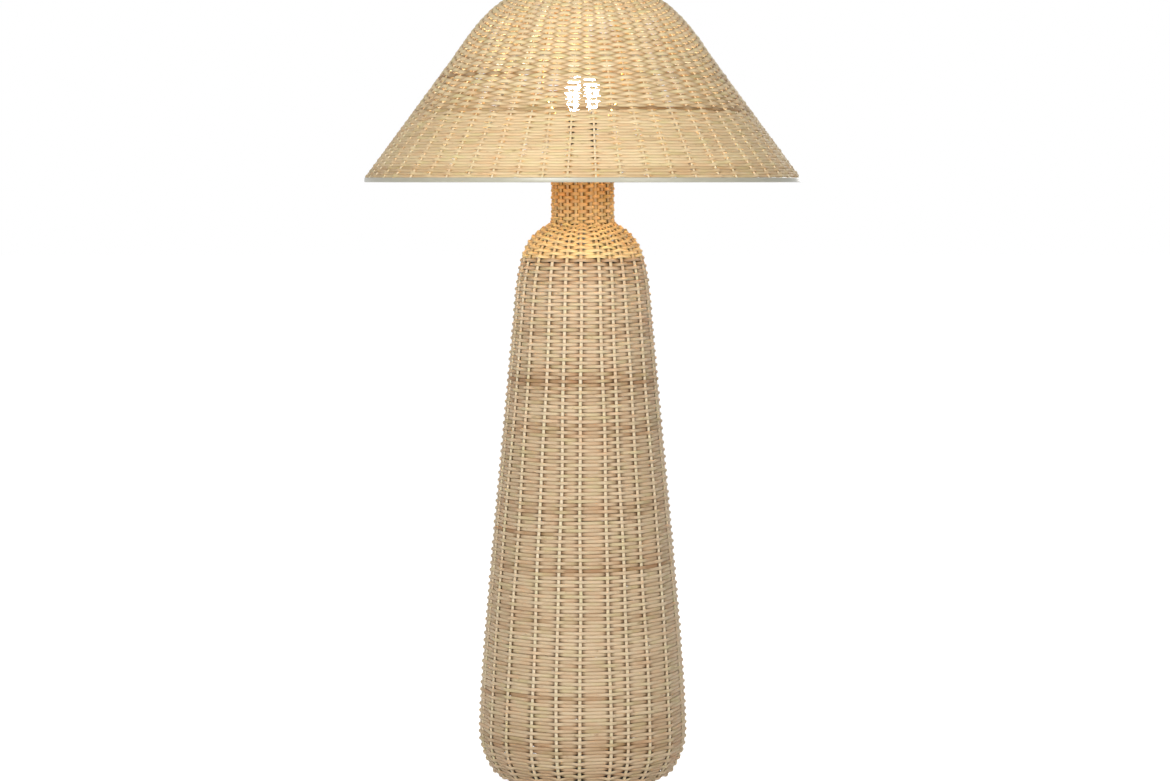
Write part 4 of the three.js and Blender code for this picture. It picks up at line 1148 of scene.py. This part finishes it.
@dataclass
class WovenShade:
    """The shade: 55 stakes over the cone and the dome, 27 of them up to the opening, and the painted hoop."""

    foot: tuple = (325.3, 7.2)  # radius and height above the rim's bottom, like the next two
    cone: tuple = (196.4, 181.4)
    crown: tuple = (46.0, 291.5)
    first_row: float = 2.3
    pitch: float = 4.95
    split_radius: float = 95.0  # where the weave leaves out every second stake
    crown_radius: float = 54.5
    stakes_to_sixth: int = 9
    stray_degrees: float = 0.35
    evened: float = 0.65  # how far the crown's stakes move from every second stake's place to an even one
    on_dome: float = 220.0  # a distance along the outline past the cone
    dark_heights: tuple = (1063.0, 1013.0)
    bulb_patch: Loosening = Loosening(
        height=1031.0, reach_round=32.0, reach_up=25.0, thinner=0.5, between=0.0)
    holder_patch: Loosening = Loosening(
        height=967.0, reach_round=27.0, reach_up=28.0, thinner=0.36, between=0.1)

    def outline(self) -> Outline:
        """The shade's outer outline, from the hoop to the opening.

        Returns:
            A straight side and the dome's Bezier curve.
        """
        foot, cone, crown = (np.array(p) + (0, RIM_BOTTOM) for p in (self.foot, self.cone, self.crown))
        lean, rise = unit(cone - foot), crown[1] - cone[1]
        dome = bezier(cone, cone + lean * rise * 0.4, crown + (rise * 0.77, 0), crown, steps=120)
        return Outline(np.concatenate([np.linspace(foot, cone, 40), dome]))

    def stake_turns(self) -> Array:
        """Where the 55 stakes stand.

        Returns:
            Nine turns in each sixth of the shade between two ribs, and ten in the one at the back, all a
            little off their places.
        """
        counts = [self.stakes_to_sixth] * 5 + [self.stakes_to_sixth + 1]
        turns = np.concatenate([-150 + 60 * k + 60 * np.arange(n) / n for k, n in enumerate(counts)])
        stray = np.clip(np.random.default_rng(12).standard_normal(len(turns)), -1.5, 1.5)
        return np.radians(turns) + np.radians(self.stray_degrees) * stray

    def main_weave(self) -> Weave:
        """The weave of the cone and the dome, over all 55 stakes.

        Returns:
            The weave, finer and flatter at the foot, and loosened before the bulb and its holder.
        """
        outline = self.outline()
        split = outline.where_radius(self.split_radius, self.on_dome)
        # the recess shade, relief and edge are painted shade and highlight, stronger towards the dome
        return Weave(
            outline, self.stake_turns(), spaced_rows((self.first_row, split, self.pitch)), seed=21,
            reed_half=total(ramp(1.3, 1.8, 60, 150), ramp(0.0, -0.4, 190, split)),
            stake_half=ramp(1.25, 0.9, 60, 150), bend=ramp(8.0, 14.5, 60, 170),
            painted_recess_shade=ramp(0.15, 0.8, 60, 170), swell=ramp(0.1, 0.3, 60, 170), relief=ramp(0.04, 0.33, 80, 160),
            edge=ramp(0.0, 0.43, 90, 160), cover=ramp(0.52, 0.55, 60, 140), forward=0.0, drift=1.1,
            strand_length=4200.0, variety=0.05, dark_heights=self.dark_heights, dark_width=3.0,
            dark_share=0.85, loose=(self.bulb_patch, self.holder_patch))

    def crown_weave(self) -> Weave:
        """The weave round the opening, over every second stake.

        Returns:
            The weave, with one more turn that hardly climbs, so that it ends level.
        """
        outline = self.outline()
        split, end = (outline.where_radius(r, self.on_dome) for r in (self.split_radius, self.crown_radius))
        main = self.stake_turns()[:-1:2]
        even = main[0] + np.arange(len(main)) / len(main) * TURN
        stakes = (1 - self.evened) * main + self.evened * even
        # the relief and edge are painted highlight and shade round the opening
        return Weave(
            outline, stakes, np.append(spaced_rows((split, end, self.pitch)), end + 1.5), seed=21,
            reed_half=steady(1.2), stake_half=steady(1.05), bend=steady(14.0), swell=steady(0.2),
            relief=steady(0.38), edge=steady(0.5), drift=1.1, strand_length=2600.0)

    def make(self) -> None:
        """Builds the weave, the stakes, the crown's border and the hoop."""
        weave, crown = self.main_weave(), self.crown_weave()
        reed, stake, border = (f.material() for f in (SHADE_REED, SHADE_STAKE, BORDER_REED))
        split, last = weave.rows[-1], len(weave.rows) - 1
        low, high = round(last / 3), round(last * 2 / 3)
        rods = weave.stake_rods(0.0, split + 4.0, ramp(1.4, 1.1, 90, 200))
        crown_rods = crown.stake_rods(split - 6.0, crown.outline.length - 3.0, steady(1.5))
        border_rope = rope(49.5, RIM_BOTTOM + 288.0, reach=1.7, strands=2, twists=17, thick=1.75, seed=10)
        for name, patch, finish in (("shade_weave_low", weave.reed(0, low), reed),
                                    ("shade_weave_middle", weave.reed(low, high), reed),
                                    ("shade_weave_high", weave.reed(high, last), reed),
                                    ("shade_weave_crown", crown.reed(0, len(crown.rows) - 1), reed),
                                    ("shade_stakes", rods, stake), ("shade_crown_stakes", crown_rods, stake),
                                    ("crown_border_rope", border_rope, border)):
            build(name, patch, "shade_skin", finish, "shade", ALL_SMOOTH)
        hoop = turned([(321.8, 0), (325, 0), (325, 6.9), (321.8, 6.9)], 1.3, RIM_BOTTOM, Level.LARGE, 4)
        build("shade_rim_hoop", hoop, "shade_hoop", RIM_PAINT.material(), "shade", 60)


# Metal, plastic and glass
@dataclass
class WireWork:
    """The welded wires: the frame in the body, and the cage and the spider that carry the shade."""

    body_wire: float = 5.0
    cage_wire: float = 4.0
    foot_ring: tuple = (102.0, 20.2)  # radius and height
    rib_foot: float = 24.5
    rib_heights: tuple = (34.0, 936.0)  # between which the body's ribs follow its wall
    body_ring_heights: tuple = (90.0, 430.0, 791.0, 935.2)
    body_ring_inset: float = 4.4  # from the ribs' middle to the rings'
    lug_circle: float = 91.25
    cage_foot: tuple = (319.5, RIM_BOTTOM + 4.5)
    cage_joint: float = RIM_BOTTOM + 181.4
    cage_ring_inset: float = 3.4
    spider_ring: float = 43.7

    def upright(self, points: Array, degrees: Sequence[float], wire: float) -> Patch:
        """Wires in upright planes.

        Args:
            points: the (radius, height) points of each wire.
            degrees: the turn of each wire's plane.
            wire: its thickness.

        Returns:
            The wires, as tubes through the points turned round the axis.
        """
        turns = np.radians(degrees)[:, None]
        across = np.stack([np.cos(turns), np.sin(turns), 0 * turns], axis=-1)
        return tube(around(points[:, 0], turns, points[:, 1]), across, wire / 2, wire / 2, 10)

    def ring(self, radius: float, height: float, wire: float, level: Level = Level.MIDDLE) -> Patch:
        """A ring of round wire."""
        w = np.arange(12) / 12 * TURN
        return lathe(np.column_stack([radius + wire / 2 * np.cos(w), height + wire / 2 * np.sin(w)]), level)

    def make_body_frame(self, outline: Outline) -> None:
        """Builds the body's four ribs, five rings, three lugs and the bridge in its neck.

        Args:
            outline: the body's.
        """
        wire, inset = self.body_wire, BODY_WALL + WALL_GAP + self.body_wire / 2
        reach = np.linspace(*(outline.where_height(z) for z in self.rib_heights), 90)
        radius, height = outline.at(reach, inset)
        ribs = np.column_stack([np.append(self.foot_ring[0], radius), np.append(self.rib_foot, height)])
        parts = [self.upright(ribs, (-22.5, 67.5, 157.5, 247.5), wire)]
        parts += [self.ring(outline.at(outline.where_height(z), inset + self.body_ring_inset)[0], z, wire)
                  for z in self.body_ring_heights]
        parts.append(self.ring(*self.foot_ring, wire, Level.LARGE))
        for degrees in (0, 120, 240):
            corners = rectangle(12, 8) @ np.array([direction(degrees), direction(degrees + 90)])
            parts.append(prism(corners + self.lug_circle * direction(degrees), 15.3, 18.3, 0.6))
        parts.append(prism(rectangle(31, 9), 933.7, 936.7, 0.6))
        build("body_wire_frame", merged(parts), "body_frame", BLACK_PAINT.material())

    def make_shade_cage(self, outline: Outline) -> None:
        """Builds the cage's six ribs and two rings, and the spider's ring, arms and washer.

        Args:
            outline: the shade's.
        """
        wire, inset, paint = self.cage_wire, SHADE_WALL + WALL_GAP + self.cage_wire / 2, WIRE_PAINT.material()
        radius, height = outline.at(np.linspace(6, outline.length - 3.0, 70), inset)
        ribs = np.column_stack([np.append(self.cage_foot[0], radius), np.append(self.cage_foot[1], height)])
        middle, _ = outline.at(outline.where_height(self.cage_joint), inset + self.cage_ring_inset)
        cage = [self.upright(ribs, np.arange(6) * 60 + 30, wire),
                self.ring(*self.cage_foot, wire, Level.LARGE),
                self.ring(middle, self.cage_joint, wire, Level.LARGE)]
        build("shade_wire_cage", merged(cage), "shade_cage", paint, "shade")
        washer, top = frame_box("shade_spider")[:, 2]
        level = top - wire / 2
        arm = bezier((10, washer + 1), (26, washer + 1), (30, level), (self.spider_ring, level), steps=24)
        spider = [self.upright(arm, (120, 240, 0), wire),
                  turned([(3.4, 0), (12, 0), (12, 2), (3.4, 2)], 0.5, washer),
                  self.ring(self.spider_ring, level, wire)]
        build("shade_spider_wires", merged(spider), "shade_spider", paint, "shade")


@dataclass
class HarpAssembly:
    """The neck's cap, the saddle and its nut, the harp and its two sleeves."""

    half_span: float = 32.0
    half_bow: float = 60.0  # half the harp's width round the bulb
    wire: float = 3.8
    stud: float = 20.0
    stud_radius: float = 3.0

    def leg(self, side: float) -> Patch:
        """One leg of the harp.

        Args:
            side: 1 for the right and -1 for the left.

        Returns:
            A wire that is upright in its sleeve, bowed round the bulb and arched to the crown.
        """
        foot, bow = self.half_span, self.half_bow
        line = np.concatenate([
            np.linspace((foot, 13.1), (foot, 36), 6),
            bezier((foot, 36), (foot, 59.6), (bow, 78.7), (bow, 105), steps=22)[1:],
            bezier((bow, 105), (bow, 166.95), (45.6, 236.3), (8.1, 236.3), steps=34)[1:]])
        path = np.column_stack([side * line[:, 0], 0 * line[:, 0], SADDLE_TOP + line[:, 1]])
        return tube(path, np.array([0.0, 1.0, 0.0]), self.wire / 2, self.wire / 2, 14)

    def crown(self) -> Patch:
        """The harp's crown piece with its threaded stud.

        Returns:
            A turned piece from the crown's underside to the stud's top.
        """
        top, shank = CROWN_TOP + self.stud, self.stud_radius
        crown = rounded([(0, -4.4), (9, -4.4), (10, -3.4), (10, 0), (shank, 0), (shank, self.stud),
                         (0, self.stud)], 0.5, False, CROWN_TOP)
        cut = np.column_stack([np.full(90, shank), np.linspace(CROWN_TOP + 1, top - 0.8, 90)])
        outline = np.concatenate([crown[:-5], cut, [[shank - 0.6, top], [0, top]]])
        return lathe(outline, Level.SMALL, thread(1.0, 0.35, CROWN_TOP + 2, top - 0.9))

    def make(self) -> None:
        """Builds the pieces on top of the neck."""
        z, brass = SADDLE_TOP, BRASS.material()
        cap = turned([(5.3, 0), (36.2, 0), (36.2, -7), (37.7, -7), (37.7, 0), (47.5, 0), (47.5, 0.8),
                      (46.6, 1.6), (5.3, 1.6)], 0.5, CAP_UNDERSIDE)
        build("neck_cap_pressing", cap, "neck_cap", brass)
        turn = np.linspace(-math.pi / 2, math.pi / 2, 13)
        right = np.column_stack([26.3 + 6.5 * np.cos(turn), 6.5 * np.sin(turn)])
        strip = prism(np.concatenate([right, -right]), z - 1.5, z, 0.35)
        tabs = [prism(rectangle(0.75, 2) + (x, 0), z - 0.6, z + 13, 0.3)
                for x in (-self.half_span, self.half_span)]
        build("harp_saddle_strip", merged([strip, *tabs]), "harp_saddle", brass)
        nut = prism(8.08 * np.array([direction(60 * k) for k in range(6)]), z + 0.3, z + 3.3, 0.5)
        build("saddle_lock_nut", nut, "saddle_nut", ZINC.material())
        foot = turned([(2.6, 0.3), (3.5, 0.3), (3.5, 14), (2.4, 15.6), (0.9, 15.6), (0.9, 13.4), (2.6, 13.4)],
                      0.3, z, Level.SMALL)
        sleeve = turned([(3.8, 0.3), (5.3, 0.3), (5.3, 0.9), (4.8, 1.4), (4.8, 11.8), (4.3, 12.3),
                         (3.8, 12.3)], 0.35, z, Level.SMALL)
        sides = {"left": -1.0, "right": 1.0}
        feet = [foot.moved(side * self.half_span) for side in sides.values()]
        legs = [self.leg(side) for side in sides.values()]
        build("harp_wire", merged([self.crown(), *feet, *legs]), "harp", brass)
        for name, side in sides.items():
            placed = sleeve.moved(side * self.half_span)
            build(f"harp_sleeve_{name}_tube", placed, f"harp_sleeve_{name}", brass, f"sleeve_{name}")


@dataclass
class LampHolder:
    """The moulded lamp holder: cup, fluted collar, and the screw shell inside."""

    radius: float = 20.5
    bore: float = 18.0
    rim: float = 34.0  # the cup's height
    collar_radius: float = 21.7
    collar_height: float = 13.5
    flutes: int = 24
    flute_depth: float = 0.55
    flute_end: float = 1.5  # how far from the collar's top they stop, and over what height they fade
    shell_radius: float = 14.2
    shell_heights: tuple = (15.1, 38.1)  # above the cup's foot
    shell_wall: float = 0.6
    shell_wave: float = 0.25  # half the depth of its rolled thread

    def fluting(self, radius: Array, turn: Array, height: Array) -> Array:
        """The swell of the collar's flutes.

        Args:
            radius, turn, height: of the points.

        Returns:
            Minus the depth times half of 1 - cos of the turn times their number, on the outside only, and
            fading out at the collar's top.
        """
        top = HOLDER_BOTTOM + self.rim + WALL_GAP + self.collar_height - self.flute_end
        dip = self.flute_depth / 2 * (1 - np.cos(self.flutes * turn))
        outside = radius > (self.bore + self.collar_radius) / 2
        return np.where(outside, -dip * np.clip((top - height) / self.flute_end, 0, 1), 0.0)

    def rolled(self, _: Array, turn: Array, height: Array) -> Array:
        """The swell of the shell's rolled thread: a wave of one bulb thread's pitch that follows the turn."""
        return self.shell_wave * np.cos(TURN * height / BULB_THREAD_PITCH + turn)

    def make(self) -> None:
        """Builds the cup, the collar and the screw shell."""
        z, low, black = HOLDER_BOTTOM, HOLDER_BOTTOM + self.rim + WALL_GAP, PHENOLIC.material()
        cup = turned([(5.3, 0), (8, 0), (8, 3.5), (self.radius, 8.5), (self.radius, self.rim),
                      (self.bore, self.rim), (self.bore, 9.5), (5.3, 9.5)], 0.9, z)
        build("lamp_holder_cup", cup, "socket_cup", black)
        bore, wide, tall = self.bore, self.collar_radius, self.collar_height
        section = rounded([(bore, 0), (wide, 0), (wide, tall), (bore, tall)], 0.9, True, low, 4)
        collar = lathe(section, Level.LARGE, self.fluting)
        build("lamp_holder_collar", collar, "socket_collar", black, sharp=60)
        heights = z + np.linspace(*self.shell_heights, 60)
        walls = [np.column_stack([np.full(60, self.shell_radius), heights]),
                 np.column_stack([np.full(60, self.shell_radius - self.shell_wall), heights[::-1]])]
        shell = lathe(np.concatenate(walls), swell=self.rolled)
        build("lamp_holder_screw_shell", shell, "socket_screw_shell", SCREW_BRASS.material(),
              sharp=60)


@dataclass
class Bulb:
    """The frosted bulb: contact, black glass, threaded base, plastic collar, board and glowing globe."""

    base_radius: float = 13.0
    base_heights: tuple = (5.8, 26.8)  # above the contact's foot
    thread_depth: float = 1.1
    collar_radius: float = 18.0
    collar_height: float = 19.3
    globe_radius: float = 28.0
    globe_wall: float = 1.4
    cut: float = math.radians(30)  # the angle below the globe's middle at which it meets its neck

    def globe(self, foot: float) -> Patch:
        """The globe of frosted glass.

        Args:
            foot: the height of its lower edge.

        Returns:
            Two arcs about one middle, joined near the axis at the top and by a cone to the foot.
        """
        out, wall = self.globe_radius, self.globe_wall
        cone = (out * math.cos(self.cut) - self.collar_radius) / math.tan(self.cut)
        centre = foot + cone + out * math.sin(self.cut)
        w, v = np.linspace(-self.cut, math.pi / 2, 30), np.linspace(math.pi / 2, -self.cut, 22)
        outside = np.column_stack([out * np.cos(w), centre + out * np.sin(w)])
        inside = np.column_stack([(out - wall) * np.cos(v), centre + (out - wall) * np.sin(v)])
        outside[-1, 0] = inside[0, 0] = 0.02
        return lathe(np.concatenate([[[self.collar_radius, foot]], outside, inside,
                                     [[self.collar_radius - wall, foot]]]))

    def make(self) -> None:
        """Builds the bulb's pieces upwards from its contact."""
        z = frame_box("bulb_contact")[0, 2]
        contact = turned([(0, 0), (2.6, 0), (4.5, 0.7), (4.5, 1.2), (0, 1.2)], 0.3, z, Level.SMALL)
        build("bulb_contact_button", contact, "bulb_contact", NICKEL.material(), "bulb_tip")
        glass = turned([(0, 1.5), (4.5, 1.5), (7.0, 2.2), (11, 5.5), (0, 5.5)], 0.5, z)
        build("bulb_black_glass", glass, "bulb_insulator", BLACK_GLASS.material(), "bulb")
        low, high = (z + height for height in self.base_heights)
        wall = np.column_stack([np.full(90, self.base_radius), np.linspace(low + 1.2, high, 90)])
        base = np.concatenate([[[0, low], [11, low], [12.4, low + 0.5]], wall, [[0, high]]])
        screw = lathe(base, swell=thread(BULB_THREAD_PITCH, self.thread_depth, low + 1.4, high - 3))
        build("bulb_screw_base", screw, "bulb_base", NICKEL.material(), "bulb", 60)
        start, top = high + WALL_GAP, high + self.collar_height
        flare = bezier((self.base_radius, start), (12.8, start + 8), (15.6, start + 13),
                       (self.collar_radius, top), steps=16)
        collar = lathe(np.concatenate([[[0, start]], flare, [[0, top]]]))
        build("bulb_white_collar", collar, "bulb_collar", BULB_PLASTIC.material(), "bulb")
        foot = top + WALL_GAP
        board = turned([(4.5, 0), (15.2, 0), (15.2, 1.6), (4.5, 1.6)], 0.2, foot)
        build("bulb_light_board", board, "bulb_led_board", LIGHT_BOARD.material(), "bulb")
        globe = self.globe(foot)
        build("bulb_frosted_globe", globe, "bulb_globe", GlowFinish().material(), "bulb")


@dataclass
class Fittings:
    """The small pieces: the finial and its washer, the grommet, and the frame's own solids that stay."""

    knob_radius: float = 10.0
    bore: float = 3.3
    stem: float = 4.8
    bush_flange: float = 9.0

    def knob(self, base: float) -> Patch:
        """The finial's knob: a turned foot, a waist and a ball, bored from below.

        Args:
            base: the height of its foot.

        Returns:
            The knob, its outline closed near the axis and back down the bore.
        """
        waist, radius = math.asin(self.stem / self.knob_radius), self.knob_radius
        w = np.linspace(waist - math.pi / 2, math.pi / 2, 26)
        ball = np.column_stack([radius * np.cos(w), base + 7 + radius * math.cos(waist) + radius * np.sin(w)])
        foot = rounded([(self.bore, 0), (7, 0), (7, 1.6), (5.2, 2.6), (4.4, 4.6), (self.stem, 7)], 0.5, False,
                       base)
        bore = [[0.02, ball[-1, 1]], [0.02, base + 17.7], [self.bore, base + 17.1], [self.bore, base + 0.3]]
        return lathe(np.concatenate([foot[1:], ball[1:-1], bore]))

    def grommet(self) -> Patch:
        """The cord's grommet: a flanged bush turned upright, then laid along the lamp's depth.

        Returns:
            The bush, at the back of the body.
        """
        inner, outer = frame_box("cord_grommet")[:, 1]
        flange = self.bush_flange
        bush = turned([(3.5, inner), (7.8, inner), (flange, inner + 2.4), (6, inner + 2.4), (6, outer - 2.4),
                       (flange, outer - 2.4), (7.8, outer), (3.5, outer)], 0.7)
        x, y, height = bush.points.T
        return replace(bush, points=np.column_stack([x, height, y + GROMMET_HEIGHT]))

    def make(self) -> None:
        """Builds the finial and the grommet, and dresses the frame's own solids that stay."""
        brass, z = BRASS.material(), frame_box("finial_washer")[0, 2]
        washer = turned([(self.bore, 0), (8, 0), (8, 1.2), (self.bore, 1.2)], 0.4, z)
        build("finial_seat_washer", washer, "finial_washer", brass, "finial")
        build("finial_knob", self.knob(z + 1.5), "finial", brass, "finial")
        build("cord_exit_grommet", self.grommet(), "cord_grommet", RUBBER.material())
        dressed = {FeltFinish(): "felt_pad", IRON: "ballast_plate", CERAMIC: "socket_insert",
                   SCREW_BRASS: "socket_contact",
                   ZINC: "plate_screw_1 plate_screw_2 plate_screw_3 centre_tube lower_nipple lower_washer "
                         "lower_nut upper_nipple"}
        for finish, nodes in dressed.items():
            material = finish.material()
            for node in nodes.split():
                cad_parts[node].data.materials[0] = material


@dataclass
class Studio:
    """The pale floor, the white background, the soft lamps and the camera at the photograph's angle."""

    picture_width: float = 1170.0
    focal_pixels: float = 2805.0
    sensor: float = 36.0
    distance: float = 4.200
    eye_height: float = 0.9103
    pitch: float = 0.0745
    centre_shift: float = 0.0035
    aim: tuple = (0.0, 0.0, 0.85)
    floor_reach: float = 30.0
    floor_height: float = -0.0004

    def background(self) -> None:
        """The world: white to the camera, a reflection or glass, and a plain level on the object."""
        r = Recipe(bpy.data.worlds.new("studio_world"), "OutputWorld")
        soft = r.add("Background", {0: (1.0, 0.99, 0.98, 1.0), 1: 0.27}).outputs[0]
        white = r.add("Background", {0: WHITE, 1: 1.0}).outputs[0]
        bpy.context.scene.world = r.end(r.switch(r.looked_at(), soft, white))

    def floor(self) -> None:
        """A wide pale floor, white to the camera, that takes the lamp's shadow and is clear from below."""
        mesh = bpy.data.meshes.new("studio_floor")
        corners = [(x, y, self.floor_height) for x, y in rectangle(self.floor_reach, self.floor_reach)]
        mesh.from_pydata(corners, [], [(0, 1, 2, 3)])
        r = Recipe(bpy.data.materials.new("studio_floor"))
        colour = r.blend(r.noise(r.place(), 3.0, 2.0), linear(226, 226, 226), linear(230, 230, 229))
        lit = r.add("BsdfDiffuse", {"Color": colour}).outputs[0]
        glow = r.add("Emission", {"Color": WHITE, "Strength": 0.88}).outputs[0]
        above = r.switch(r.looked_at(), lit, r.add("AddShader", {0: lit, 1: glow}).outputs[0])
        below = r.add("BsdfTransparent").outputs[0]
        mesh.materials.append(r.end(r.switch(r.add("NewGeometry").outputs["Backfacing"], above, below)))
        linked("studio_floor", mesh)

    def lamp(self, name: str, place: tuple, size: float, power: float, colour: tuple) -> None:
        """A square soft lamp that faces the aim, a point on the axis just below the shade.

        Args:
            name: its name.
            place: where it stands.
            size, power: its side in metres and its watts.
            colour: its colour.
        """
        data = bpy.data.lights.new(name, "AREA")
        data.shape, data.size, data.energy, data.color = "SQUARE", size, power, colour
        lamp = linked(name, data)
        lamp.location = place
        x, y, z = np.array(self.aim) - np.array(place)
        lamp.rotation_euler = (math.acos(-z / math.hypot(x, y, z)), 0, math.atan2(y, x) - math.pi / 2)

    def camera(self) -> None:
        """The camera in front of the lamp, level with the shade's rim and turned slightly down."""
        data = bpy.data.cameras.new("camera")
        data.sensor_width, data.clip_end = self.sensor, 100.0
        data.lens = self.focal_pixels / self.picture_width * self.sensor
        camera = linked("camera", data)
        camera.location = (self.centre_shift, -self.distance, self.eye_height)
        camera.rotation_euler = (math.pi / 2 - self.pitch, 0, 0)
        bpy.context.scene.camera = camera

    def make(self) -> None:
        """Sets up the whole studio."""
        self.background()
        self.floor()
        self.lamp("key_light", (-0.6, -2.1, 1.35), 0.9, 31.0, (1.0, 0.99, 0.98))
        self.lamp("fill_light", (1.2, -2.1, 1.25), 1.0, 14.0, (1.0, 0.99, 0.99))
        self.lamp("back_light", (0.7, 2.3, 1.5), 1.4, 18.0, (1.0, 0.99, 0.98))
        self.camera()
        bpy.context.scene.view_settings.view_transform = "Standard"


def main() -> None:
    """Builds the lamp's sub-assemblies in order, then the studio."""
    logging.basicConfig(level=logging.INFO, format="%(name)s: %(message)s")
    woven_body, woven_shade, wires = WovenBody(), WovenShade(), WireWork()
    woven_body.make()
    wires.make_body_frame(woven_body.outline())
    woven_shade.make()
    wires.make_shade_cage(woven_shade.outline())
    for assembly in (HarpAssembly(), LampHolder(), Bulb(), Fittings(), Studio()):
        assembly.make()
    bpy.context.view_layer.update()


if __name__ == "__main__":
    main()
